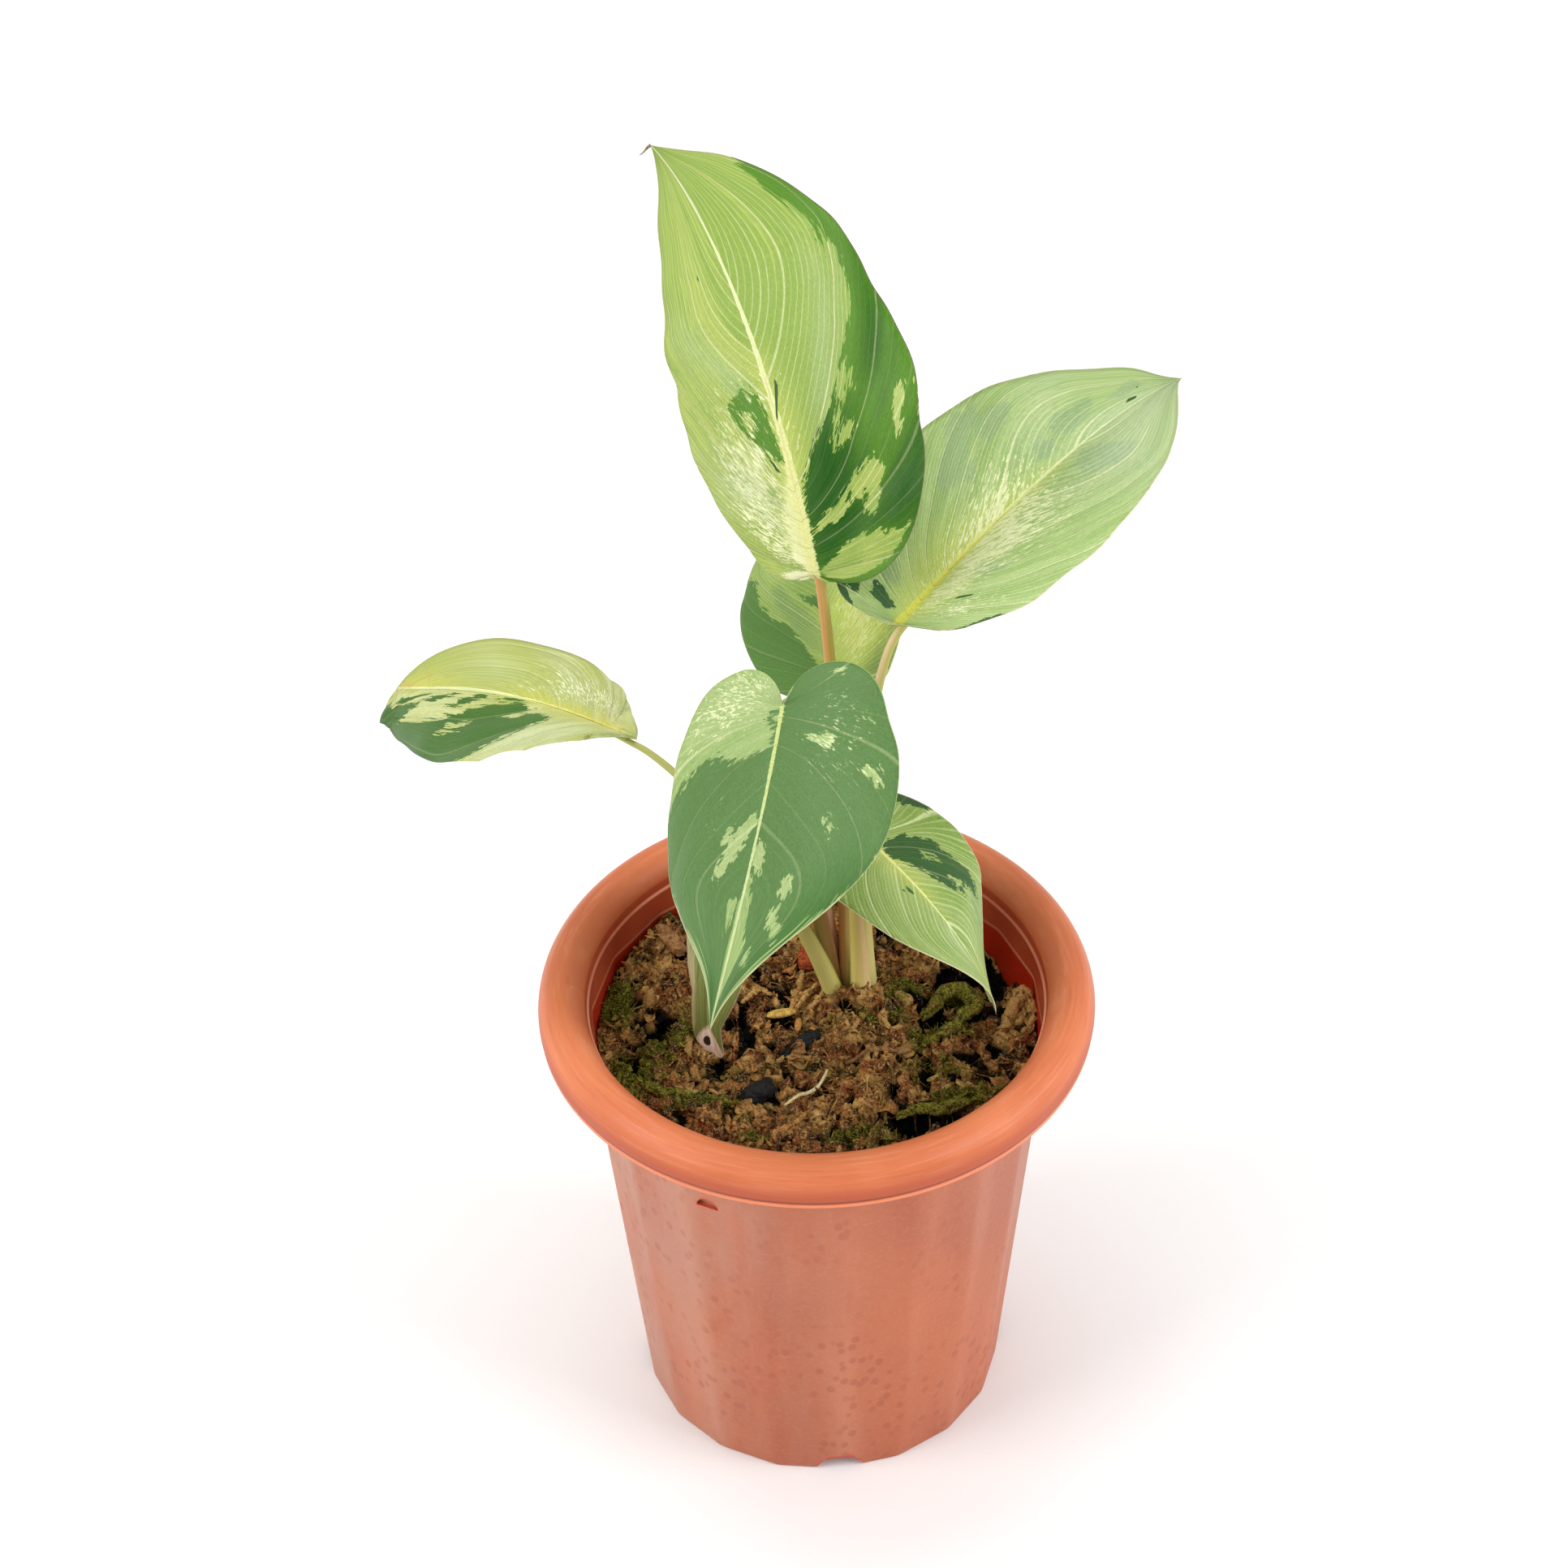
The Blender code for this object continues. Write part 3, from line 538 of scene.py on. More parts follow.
def blade_flat(name, u, t):
    """Flat place of (u, t): a quadratic Bezier from the midrib to the edge for each u."""
    crowded = np.where(t > 0, LEAVES[name]["crowded_right"], VEINS_CROWDED)
    rib = rib_line(name, np.clip((u - VEINS_START) / (1 - VEINS_START), 0, 1) ** crowded)
    edge = blade_edge(name, u, t)
    across = np.abs(t)[..., None]
    bend = rib + (edge - rib) * np.array([0.55, 0.30])
    return (1 - across) ** 2 * rib + 2 * (1 - across) * across * bend + across ** 2 * edge


def blade_surface(leaf, flat):
    """Flat places laid on the bent midrib; each half folds up and curls over. Also the face."""
    x, y = flat[..., 0], flat[..., 1]
    place_at, _, right, face = midrib_frame(leaf, y)
    half = np.where(x < 0, leaf["left"], leaf["right"])
    curl = np.radians(np.where(x < 0, leaf["curl_left"], leaf["curl_right"]))
    angle = np.radians(leaf["fold"]) - curl * np.abs(x) / half * 0.5
    sideways = x * np.cos(angle)
    rise = np.abs(x) * np.sin(angle)
    return place_at + sideways[..., None] * right + rise[..., None] * face, face


# %% Side veins
tell_leaves(                   # crowding p and first slope a of the veins' formula, then where they turn
    veins_left=((4.6, 0.74), (4.6, 0.86), (3.4, 0.80), (4.2, 0.76), (3.4, 0.75), (3.8, 0.80), (3.0, 0.80)),
    veins_right=((4.0, 0.86), (4.0, 0.70), (3.4, 0.80), (4.2, 0.76), (3.4, 0.75), (3.8, 0.80), (3.0, 0.80)),
    turns_at=(0.32, 0.40, 0.40, 0.06, 0.40, 0.40, 0.40))
TURN_LENGTH = 0.48             # share of the leaf's length over which the veins turn to the tip
TIP_NUMBER, TIP_SPREAD = 0.985, 0.30        # vein numbers in the tip: at the midrib, less at the edge
EDGE_SAMPLES, HALVINGS = 300, 18


def vein_number(name, flat, u, t):
    """Which vein passes a flat place, told by the u where it ends; found by halving.

    A vein leaves the midrib at L ((u - u0) / (1 - u0))^p and climbs towards its end by
    a h + (1 - a) h^5, where h is the share of the blade's half width at that height. Towards the
    tip all veins turn into lines of equal h, which run together in the tip. Behind the base,
    where the lobes are, the grid's own u is kept.
    """
    leaf, number = LEAVES[name], u.copy()
    length, turn = leaf["length"], leaf["turns_at"]
    along = np.linspace(VEINS_START, 1, EDGE_SAMPLES)
    for side, (crowding, slope) in ((-1, leaf["veins_left"]), (1, leaf["veins_right"])):
        edge = blade_edge(name, along, np.full(EDGE_SAMPLES, side))
        start = length * ((along - VEINS_START) / (1 - VEINS_START)) ** crowding
        half = (t < 0) if side < 0 else (t >= 0)
        x, y = np.abs(flat[..., 0][half]), flat[..., 1][half]
        h = np.clip(x / np.maximum(np.interp(y, edge[:, 1], np.abs(edge[:, 0])), 0.5), 0, 1)
        climb = slope * h + (1 - slope) * h ** 5
        low, high = np.full(y.shape, VEINS_START), np.ones(y.shape)
        for _ in range(HALVINGS):
            middle = (low + high) / 2
            from_rib, to_edge = np.interp(middle, along, start), np.interp(middle, along, edge[:, 1])
            below = from_rib + (to_edge - from_rib) * climb < y
            low, high = np.where(below, middle, low), np.where(below, high, middle)
        near_tip = smooth_step(turn, turn + TURN_LENGTH, y / length)
        low = low + (TIP_NUMBER - TIP_SPREAD * h - low) * near_tip
        number[half] += (low - number[half]) * smooth_step(0.02 * length, 0.22 * length, y)
    return number


print("veins turn to the tip from", [leaf["turns_at"] for leaf in LEAVES.values()], "of the length")

# %% [markdown]
# ## Where the leaves are dark and where they are pale
# Each leaf is a patchwork: sectors of dark and light green that end along the veins, islands of
# one in the other, grey-green in-between tones and cream flecks. The sectors could be pure noise,
# but then no leaf would look like the real one. Here each patch is a rough outline of a few listed
# (u, t) corners. Its signed distance is kept at every point of the mesh, and the
# shader cuts it off with ragged blocks that are drawn out along the veins. Flecks, warm yellow
# tinges and deep greens have soft borders instead.

# %% Patches of colour on each leaf
PERCENT = 0.01
# Where a leaf has sheen outlines, a pale grey-green painted sheen is laid over its greens.
PATCHES = {                    # corners (u, t) in percent
    "leaf_1": dict(
        dark=[[(79, 105), (79, 99), (74, 90), (71, 90), (67, 91), (64, 90), (63, 88), (62, 92), (60, 86),
            (58, 82), (59, 73), (59, 29), (58, 15), (56, 8), (53, 3.5), (43, 3), (28, 3), (15, 10),
            (12, 105)], [(68, -18), (65.5, -10), (60.5, -5), (58.8, -21), (58.8, -42), (60.5, -49),
            (63.5, -44), (64.2, -38), (66, -40), (66.7, -33), (65.3, -28), (68, -25)]],
        light=[[(59.5, 55), (57, 66), (55, 66), (56.5, 54), (58, 49)], [(53, 55), (52.5, 53), (54, 38),
            (56, 37), (55, 45)], [(49, 52), (45.5, 66), (43.5, 60), (40.5, 57), (42.5, 44), (45, 49),
            (46.5, 39), (48.5, 34), (49, 45)], [(49, 34), (45.5, 35), (45.2, 25), (46.5, 8), (48.5, 14),
            (48.2, 25)], [(49, 80), (48.8, 89), (46.5, 85), (47, 75)], [(48.5, 98.5), (46, 100), (44, 98),
            (47, 95)], [(56, 50), (55.2, 51), (55.5, 44), (57, 43)], [(63.5, -36), (64.5, -26), (62.5, -24),
            (60, -31), (60.5, -39)], [(39, 29), (39, 46), (36, 70), (34.5, 92), (32, 90), (29, 84), (23, 60),
            (20, 30), (31, 5), (34, 12)]],
        mid=[[(52.5, -27), (54, -15), (50.5, -14), (48.5, -26), (49, -32)]],
        cream=[[(60, -0.5), (58, -6), (48, -16), (36, -20), (30, -1)], [(30, -5), (22, -90), (8, -90),
            (10, -10)]],
        fleck=[[(74, 0), (70, -25), (62, -60), (50, -84), (38, -80), (28, -50), (28, -10), (35, 0)],
            [(70, 3), (68, 16), (61, 12), (60, 2)]],
        deep=[[(61, 45), (60, 10), (53, -2), (34, -2), (34, 20), (42, 50), (52, 52)], [(45, 72), (44, 105),
            (34, 105), (36, 75), (40, 50)], [(57, 97), (54, 78), (51, 78), (53, 97)]],
        dim=[[(56, 2), (95, 2), (88, 60), (70, 75), (60, 70)]],
        painted_sheen=[[(52, 82), (44, 98), (40, 96), (41, 72), (50, 62)], [(62, 35), (66, 80), (62, 80), (59, 40)],
            [(70, -30), (66, -85), (62, -85), (66, -30)], [(52, -35), (46, -90), (38, -90), (46, -30)]],
        warm=[[(66, 10), (72, 0), (60, -12), (40, -10), (40, 0)]],
        marks=[[(70.5, 10), (69.5, 12), (68, 4), (66.5, -2), (68, 0)], [(79, -63), (79, -60), (77.5, -58),
            (77.5, -61)], [(58.5, -21), (58.5, -15), (57.5, -10), (57.2, -15)]]),
    "leaf_2": dict(
        dark=[[(35.5, -12), (37, -30), (35.5, -42), (31, -42), (30, -20)], [(31, -62), (30, -78), (27, -78),
            (27, -62)], [(25, -80), (34, -93), (34, -105), (18, -105), (20, -90)], [(34, 93), (34, 105),
            (22, 105), (27, 94)]],
        mid=[[(60, -82), (62, -89), (65.5, -82), (66, -71), (64, -64), (61.5, -70)], [(54.5, -97), (60, -90),
            (60, -50), (56.5, -45), (55, -60)], [(75, -61), (78, -70), (80, -75), (83, -50), (81, -34),
            (77, -45)], [(73.5, -46), (78, -40), (78, -18), (75, -27)], [(81, 20), (80, 42), (74.5, 80),
            (69, 74), (72, 50)], [(54.5, 16), (54, 30), (50, 50), (49.5, 36)], [(62, -60), (62.5, -46),
            (60, -45), (60, -60)], [(88, -55), (90, -80), (86, -85), (84, -60)], [(50, -95), (48, -50),
            (42, -20), (38, -30), (40, -95)]],
        fleck=[[(58, -22), (63, -44), (70, -52), (77, -10), (79, 10), (68, 62), (57, 66), (48, 45), (38, 30),
            (33, 10), (45, -10)], [(46, 30), (40, 75), (30, 60), (32, 20)]],
        painted_sheen=[[(100, -90), (80, -40), (80, 30), (66, 55), (58, 105), (100, 105)], [(78, -30), (72, -95),
            (67, -95), (72, -40)]],
        warm=[[(78, 6), (70, -8), (55, -22), (40, -12), (30, 0), (40, 16), (60, 10)]],
        marks=[[(91.7, -33), (91.2, -46), (89.5, -47), (89.8, -34)], [(43.7, 31), (43.4, 43), (42.6, 43),
            (42.6, 31)], [(89.5, -68), (89.3, -73), (88.7, -72), (88.9, -68)]]),
    "leaf_3": dict(
        dark=[[(60, -105), (62, -89), (55.5, -80), (54, -66), (54.5, -45), (51, -28), (40, -3), (15, -3),
            (15, -105)], [(70, -2), (68, -30), (66.5, -38), (65.5, -30), (65, -2)]],
        mid=[[(63.5, -28), (64, -46), (65, -62), (62.5, -72), (56, -50), (50, -20), (48, -3), (60, -3)],
            [(63, 30), (64, 36), (59, 14), (57, 5), (58.5, 5)], [(50, 40), (52, 55), (45, 62), (44, 45)],
            [(40, 55), (40, 105), (28, 105), (30, 60)]],
        fleck=[[(66, 5), (66, 50), (56, 80), (36, 80), (36, 10), (50, 2)]],
        warm=[[(66, 3), (66, 60), (54, 80), (36, 80), (38, 20), (50, 2)]]),
    "leaf_4": dict(
        dark=[[(94, -86), (85, -80), (77, -72), (76, -85), (75, -90), (71, -84), (68, -70), (68, -39),
            (69, -17), (65, -21), (62, -38), (60, -27), (57, -29), (53, -54), (51, -76), (51, -105),
            (95, -105)], [(91, -75), (92, -62), (83, -50), (82, -78)], [(79, -66), (79, -38), (77, -38),
            (76, -62)], [(71, -61), (73.5, -47), (77, -30), (76.5, -16), (72, -38), (69.5, -54)], [(71, -32),
            (74, -16), (71, -6), (69, -20)]],
        light=[[(63, -86), (64.5, -72), (63, -62), (61, -76)], [(61, -52), (62.5, -36), (59.5, -42)]],
        fleck=[[(90, 10), (80, 50), (70, 85), (50, 85), (42, 40), (50, 10)]],
        dim=[[(99, 0), (78, 0), (72, 40), (80, 105), (99, 105)]],
        painted_sheen=[[(90, 20), (85, 95), (78, 95), (83, 30)], [(74, 20), (69, 90), (63, 90), (68, 30)],
            [(60, -30), (58, -105), (34, -105), (40, -30)]],
        orange=[[(100, -25), (99, 0), (98.7, 30), (100, 45)]],
        warm=[[(100, -40), (96, -20), (95, 20), (97, 60), (100, 70)], [(60, 0), (50, 12), (35, 30), (25, 40),
            (20, 105), (40, 105), (30, 60), (42, 30), (62, 14), (80, 6), (80, -3), (50, -12), (35, -10)]]),
    "leaf_5": dict(
        dark=[[(100, -90), (47, -105), (6, -105), (6, -5), (20, -2), (42, 0), (45, 4), (53, 3.5), (52, 20),
            (50, 34), (45, 48), (44, 60), (44, 88), (46, 105), (100, 90)], [(40, 3), (37, 2), (35, 2),
            (36, 10), (40, 12), (43, 9), (43, 4)]],
        light=[[(47.5, -22), (45.5, -40), (43.5, -46), (42.5, -40), (44.5, -22)], [(60, -58), (62, -64),
            (61.5, -70), (59.5, -68), (59, -60)], [(74, -3), (75, -20), (79, -26), (79, -6)], [(76, -60),
            (76.5, -72), (73, -70), (72.5, -58)], [(69, 6), (70, 23), (71, 42), (73, 60), (75.5, 50),
            (75, 30), (74, 6), (72, 2)], [(69, 46), (68, 38), (69, 30), (70.5, 38)], [(80, -62), (80, -72),
            (79.5, -90), (77, -88), (78, -62)], [(80, -4), (85, 8), (93, 20), (98, 30), (96, -50), (90, -60),
            (87, -60), (85, -34), (82, -18)], [(88.5, -76), (86.5, -70), (85, -78), (87, -88)], [(87, 40),
            (86, 20), (84, 12), (82.5, 34)], [(35, -75), (35, -81), (33.5, -80), (33.5, -75)], [(22.5, -78),
            (23, -90), (21, -92), (19.5, -80)], [(46, -70), (45, -86), (43.5, -84), (44.5, -70)]],
        fleck=[[(60, -6), (62, -75), (48, -95), (20, -95), (20, -20), (40, -6)], [(66, 10), (70, 65),
            (52, 75), (54, 10)], [(44, 10), (42, 105), (5, 105), (10, 10)]],
        deep=[[(100, -99), (90, -93), (60, -93), (60, -105), (90, -105)], [(100, 99), (95, 60), (88, 88),
            (88, 105), (100, 105)]]),
    "leaf_6": dict(
        dark=[[(43, -12), (48, -3), (56, -3), (60, -22), (65, -41), (66, -61), (63, -70), (60, -66),
            (59, -72), (61, -82), (63, -92), (60, -92), (55, -84), (50, -65), (47, -57), (45, -58),
            (43, -44), (41.5, -31)], [(36, -105), (36, -88), (30, -80), (22, -90), (22, -105)]],
        light=[[(63, -54), (62, -66), (59.5, -66), (59.5, -54)], [(54.5, -36), (54.5, -49), (51.5, -47),
            (51.5, -36)]],
        mid=[[(62, -93), (72, -96), (80, -90), (70, -85), (62, -80)]],
        warm=[[(100, -90), (95, -90), (95, 90), (100, 90)], [(72, -4), (55, -12), (50, 0), (60, 10),
            (72, 5)]],
        marks=[[(64.5, 20), (65.5, 28), (68, 24), (67.5, 19)], [(63, 30), (63.5, 34), (64.5, 33),
            (64, 29)]]),
    "leaf_7": dict(
        mid=[[(80, -70), (50, -80), (50, 80), (80, 70)]],
        cream=[[(90, 80), (55, 90), (55, 105), (92, 105)]]),
}


# %% Distance to a patch's outline
CRISP, SOFT = 8.0, 34.0        # mm over which a patch's field goes from 0 to 1
TRAVEL = 1.15                  # one unit of u is about this many lengths of the leaf


def outline_distance(x, y, outline):
    """Distance to a closed outline, positive inside.

    The nearest point of every side gives the distance; a line to the right that crosses an odd
    number of sides starts inside.
    """
    start, ahead = outline, np.roll(outline, -1, 0)
    side = ahead - start
    from_x, from_y = x[..., None] - start[:, 0], y[..., None] - start[:, 1]
    along = (from_x * side[:, 0] + from_y * side[:, 1]) / np.maximum((side ** 2).sum(1), 1e-9)
    along = np.clip(along, 0, 1)
    gap = np.hypot(from_x - along * side[:, 0], from_y - along * side[:, 1]).min(-1)
    spans = (start[:, 1] > y[..., None]) != (ahead[:, 1] > y[..., None])
    slope = side[:, 0] / np.where(side[:, 1] == 0, 1e-9, side[:, 1])
    crossed = spans & (from_x < slope * from_y)
    return np.where(crossed.sum(-1) % 2 == 1, gap, -gap)


def patch_field(leaf, u, t, outlines, softness):
    """0.5 on the outlines, rising inside; the largest of all outlines counts."""
    size = np.array([leaf["length"] * TRAVEL, (leaf["left"] + leaf["right"]) / 2])
    field = np.full(u.shape, -99.0)
    for outline in outlines:
        distance = outline_distance(u * size[0], t * size[1], np.array(outline) * PERCENT * size)
        field = np.maximum(field, distance)
    return np.clip(0.5 + field / softness, 0, 1)


for name, patches in PATCHES.items():
    print(name, sum(len(outlines) for outlines in patches.values()), "patches")

# %% [markdown]
# ## The leaf pattern
# A node group turns those fields into the leaf's colours. It runs in the leaf's own coordinates,
# so veins and flecks lie along the vein direction. A leaf has three ranks of pale side veins:
# strong ones every 10 to 23 mm, where the blade is creased, two weaker ones in between, and two
# hair-fine ones between those. A line is drawn where the distance to the nearest whole number is
# small, which is what the Ping-Pong operation gives. The patches' borders are broken up by Voronoi
# cells drawn out along the veins, which gives the stepped look of the real ones. Every blade's
# material uses the group with its own greens.

# %% Side vein lines
VEIN_RANKS = (                 # how many between creases, width in cm, strength, strength on dark
    (1.0, 0.066, 1.0, 0.34), (3.0, 0.040, 0.56, 0.09), (9.0, 0.028, 0.48, 0.03))


def vein_lines(phase, spacing, seed, is_dark):
    """The three ranks: each vein's own strength, less on dark green, and the same as a height."""
    lines, heights = [], []
    for count, width, strength, on_dark in VEIN_RANKS:
        turns = times(phase, count)
        off = times(calc("PINGPONG", turns, 0.5), calc("DIVIDE", spacing, count))
        number = times_plus(seed, 7.0, calc("ROUND", turns))
        chance = add_node(tree_of(phase), "ShaderNodeTexWhiteNoise", {"W": number}, noise_dimensions="1D")
        vigour = ease(chance.outputs["Value"], 0.0, 1.0, 0.55 * strength, strength)
        line = ease(off, width, width * 0.3)
        lines.append(times(times(line, vigour), ease(is_dark, 0.0, 1.0, 1.0, on_dark / strength)))
        heights.append(times(line, strength))
    veins = calc("MAXIMUM", lines[0], calc("MAXIMUM", lines[1], lines[2]))
    return veins, total(heights[0], times(heights[1], 0.7), times(heights[2], 0.5))


# %% Patchwork of greens
def block(spot, scale_across, scale_along):
    """A random number for each cell of a Voronoi pattern of squares."""
    tree = tree_of(spot)
    place_in = stretched(spot, (scale_across, scale_along, 1.0))
    cells = add_node(tree, "ShaderNodeTexVoronoi", {"Vector": place_in, "Scale": 1.0}, feature="F1",
                     distance="CHEBYCHEV")
    return add_node(tree, "ShaderNodeSeparateColor", {"Color": cells.outputs["Color"]}).outputs[0]


def patch(field, tear, low=0.49, high=0.51, weight=1.0):
    """A field cut off at its outline, which the tear moves in and out."""
    return ease(times_plus(tear, weight, field), low, high)


def green_patches(given, is_dark, tear, noises, patches, tones, dim, phase):
    """Light, shaded, mid, cream and warm tones, and the dark green night over them."""
    streak, fine, cloud = noises
    _, cream, mid, _ = patches
    deep, warm = tones[:2]
    third = calc("FLOOR", times(phase, 3.0))
    band = add_node(tree_of(phase), "ShaderNodeTexWhiteNoise", {"W": third}, noise_dimensions="1D")
    shade = total(cloud, times(dim, 0.60), centred(band.outputs["Value"], 0.20), centred(streak, 0.9),
                  centred(fine, 0.5))
    tone = blend(ease(shade, 0.30, 0.74), given["Light"], given["Shade"])
    tone = blend(times(patch(mid, tear, 0.44, 0.56), 0.62), tone, given["Mid"])
    tone = blend(times(patch(cream, tear, 0.3, 0.7, 1.6), 0.85), tone, given["Cream"])
    tone = layers(tone, (warm, 0.2, 0.8, 0.75, given["Warm"]))
    night = blend(ease(total(deep, centred(cloud, 0.5)), 0.25, 0.75), given["Dark"], given["Deep"])
    night = layers(night, (total(cloud, centred(streak, 0.3)), 0.45, 0.80, 0.16, given["Mid"]))
    return blend(is_dark, tone, night)


def flecked(tone, given, is_dark, fleck, spot):
    """Cream dashes along the veins: noise over a limit that is lower where the flecks are."""
    dash = grain(stretched(spot, (5.0, 14.0, 1.0), (7.0, 1.0, 0.0)), 1.0, 2.0, 0.6)
    limit = times_plus(times(ease(fleck, 0.15, 0.95), given["Flecks"]), -0.26, 0.79)
    limit = times_plus(is_dark, 0.105, limit)
    pale = blend(is_dark, given["Cream"], blend(0.35, given["Light"], given["Cream"]))
    return layers(tone, (calc("SUBTRACT", dash, limit), 0.0, 0.05, 0.9, pale))


# %% Leaf pattern group
def build_leaf_pattern():
    """Colour, bump height and roughness from the patch fields, the veins and the leaf's places."""
    tree, given, out = new_group(
        "leaf_pattern",
        ("Light", "Shade", "Mid", "Dark", "Deep", "Cream", "Warm", "Rib", "Vein", "Edge", "Dark Edge"),
        ("Ragged", "Flecks", "Vein Spacing", "Vein Strength", "Seed"),
        {"Color": "Color", "Height": "Float", "Roughness": "Float"})
    on_leaf = add_node(tree, "ShaderNodeUVMap").outputs["UV"]
    across, along, _ = add_node(tree, "ShaderNodeSeparateXYZ", {"Vector": on_leaf}).outputs
    spot = add_node(tree, "ShaderNodeCombineXYZ", {"X": across, "Y": along, "Z": given["Seed"]}).outputs[0]
    patches = channels(tree, "patches")                   # dark, cream, mid, fleck
    tones = channels(tree, "tones")                       # deep, warm, mark, burnt
    under, edge, rib, withered = channels(tree, "place_on_leaf")
    painted_sheen, orange, dim, part = channels(tree, "sheen")

    streak = grain(stretched(spot, (1.1, 9.0, 1.0)), 1.0, 4.0, 0.6)
    fine = grain(stretched(spot, (3.0, 24.0, 1.0)), 1.0, 3.0, 0.6)
    cloud = grain(stretched(spot, (0.7, 1.4, 1.0), (3.0, 5.0, 0.0)), 1.0, 3.0)
    cell_skin = grain(stretched(spot, (20.0, 26.0, 1.0)), 1.0, 1.0, 0.5)
    tear = total(centred(block(spot, 3.2, 5.5), 0.17), centred(block(spot, 7.5, 12.0), 0.13),
                 centred(streak, 0.10), centred(fine, 0.08))
    tear = times(tear, given["Ragged"])

    phase = calc("DIVIDE", along, given["Vein Spacing"])
    is_dark = patch(patches[0], tear)
    veins, grooves = vein_lines(phase, given["Vein Spacing"], given["Seed"], is_dark)
    tone = green_patches(given, is_dark, tear, (streak, fine, cloud), patches, tones, dim, phase)
    tone = flecked(tone, given, is_dark, patches[3], spot)

    # Painted sheen: inside the sheen outlines the colour is lifted towards pale grey-green, strongly on
    # light green and only a little on dark green.
    painted_sheen_amount = times(ease(times_plus(cloud, 0.4, painted_sheen), 0.45, 1.15), ease(is_dark, 0.0, 1.0, 0.34, 0.05))
    tone = blend(painted_sheen_amount, tone, (208, 220, 192))
    veins = times(times(veins, ease(part, 0.86, 0.99, 1.0, 0.30)), given["Vein Strength"])
    tone = blend(veins, tone, given["Vein"])
    tone = layers(tone, (times_plus(tear, 1.2, rib), 1.15, 0.85, 0.92,
                         blend(ease(part, 0.10, 0.60), given["Rib"], given["Vein"])))
    dry = blend(ease(fine, 0.35, 0.65), (206, 178, 150), (234, 214, 188))
    tone = layers(tone,
                  (tones[2], 0.49, 0.51, 1.0, (62, 96, 46)),                            # dark spots
                  (edge, 0.040, 0.018, 0.85, blend(is_dark, given["Edge"], given["Dark Edge"])),
                  (total(centred(streak, 0.25), withered), 0.47, 0.53, 1.0, dry),
                  (tones[3], 0.46, 0.54, 1.0, (248, 230, 208)),                         # pale rim
                  (tones[3], 0.90, 0.97, 1.0, (60, 44, 40)),                            # hole
                  (times_plus(streak, 0.3, orange), 0.45, 1.1, 1.0, (222, 96, 30)))     # orange tip
    skin = ease(cell_skin, 0.35, 0.65, 0.90, 1.07)
    grey = add_node(tree, "ShaderNodeCombineColor", {0: skin, 1: skin, 2: skin}).outputs[0]
    tone = blend(1.0, tone, grey, "MULTIPLY")
    tone = blend(under, tone, blend(0.45, tone, (176, 196, 138)))
    satin = ease(total(cloud, centred(cell_skin, 0.3)), 0.3, 0.7, 0.36, 0.46)
    feed(out, Color=tone, Height=times_plus(grooves, -0.8, centred(cell_skin, 0.5)), Roughness=satin)
    print("leaf pattern:", len(tree.nodes), "nodes")
    return tree


leaf_pattern = build_leaf_pattern()

# %% [markdown]
# Each leaf has its own greens: the tall one is yellow-green and cream with a deep green half, the
# one in front is blue-green, the oldest is dull olive. The values were set against the
# photograph, a little darker than they look there, because the studio light lifts them.

# %% Blade finishes
GREENS = {                     # one colour for each of the leaves 1 to 7
    "Light": ((171, 188, 95), (171, 194, 127), (160, 184, 100), (198, 204, 142), (166, 186, 124),
              (150, 172, 96), (126, 136, 72)),
    "Shade": ((142, 170, 76), (146, 176, 100), (140, 168, 84), (170, 180, 92), (148, 174, 106),
              (134, 162, 78), (108, 122, 60)),
    "Mid": ((120, 154, 92), (136, 164, 118), (122, 152, 92), (116, 144, 74), (112, 146, 88),
            (112, 146, 78), (100, 118, 56)),
    "Dark": ((86, 134, 38), (58, 94, 54), (90, 130, 62), (66, 108, 38), (91, 126, 70), (58, 94, 48),
             (92, 110, 54)),
    "Deep": ((26, 86, 0), (50, 84, 40), (60, 100, 44), (50, 96, 20), (60, 106, 42), (48, 84, 30),
             (80, 100, 50)),
    "Cream": ((246, 246, 200), (232, 234, 184), (228, 230, 164), (236, 238, 200), (222, 228, 178),
              (226, 228, 166), (204, 184, 144)),
    "Warm": ((214, 220, 116), (198, 206, 80), (204, 214, 98), (216, 208, 84), (190, 200, 110),
             (206, 208, 100), (170, 160, 90)),
    "Rib": ((230, 230, 156), (216, 216, 92), (210, 216, 120), (226, 216, 104), (204, 216, 136),
            (230, 226, 140), (170, 168, 108)),
    "Vein": ((232, 238, 182), (232, 238, 182), (232, 238, 182), (232, 238, 182), (208, 220, 160),
             (232, 238, 182), (150, 160, 98)),
    "Edge": ((222, 212, 172), (214, 212, 160), (214, 212, 160), (206, 196, 128), (214, 214, 160),
             (240, 226, 182), (214, 184, 160)),
    "Dark Edge": ((118, 96, 84), (150, 150, 120), (150, 150, 120), (96, 124, 104), (166, 186, 118),
                  (240, 226, 182), (214, 184, 160)),
}
tell_leaves(                   # vein spacing in cm, then shares
    spacing=(2.3, 1.7, 1.6, 1.65, 2.3, 1.4, 1.0), vein_strength=(0.80, 0.80, 0.55, 0.42, 0.70, 0.66, 0.25),
    ragged=(1.3, 1.1, 1.2, 1.4, 1.4, 1.3, 0.6), flecks=(1.25, 1.45, 1.45, 1.15, 1.12, 0.4, 0.3))


def own_colours(table, number):
    """One leaf's colours from a table that has seven in a row."""
    return {label: colour(*row[number - 1]) for label, row in table.items()}


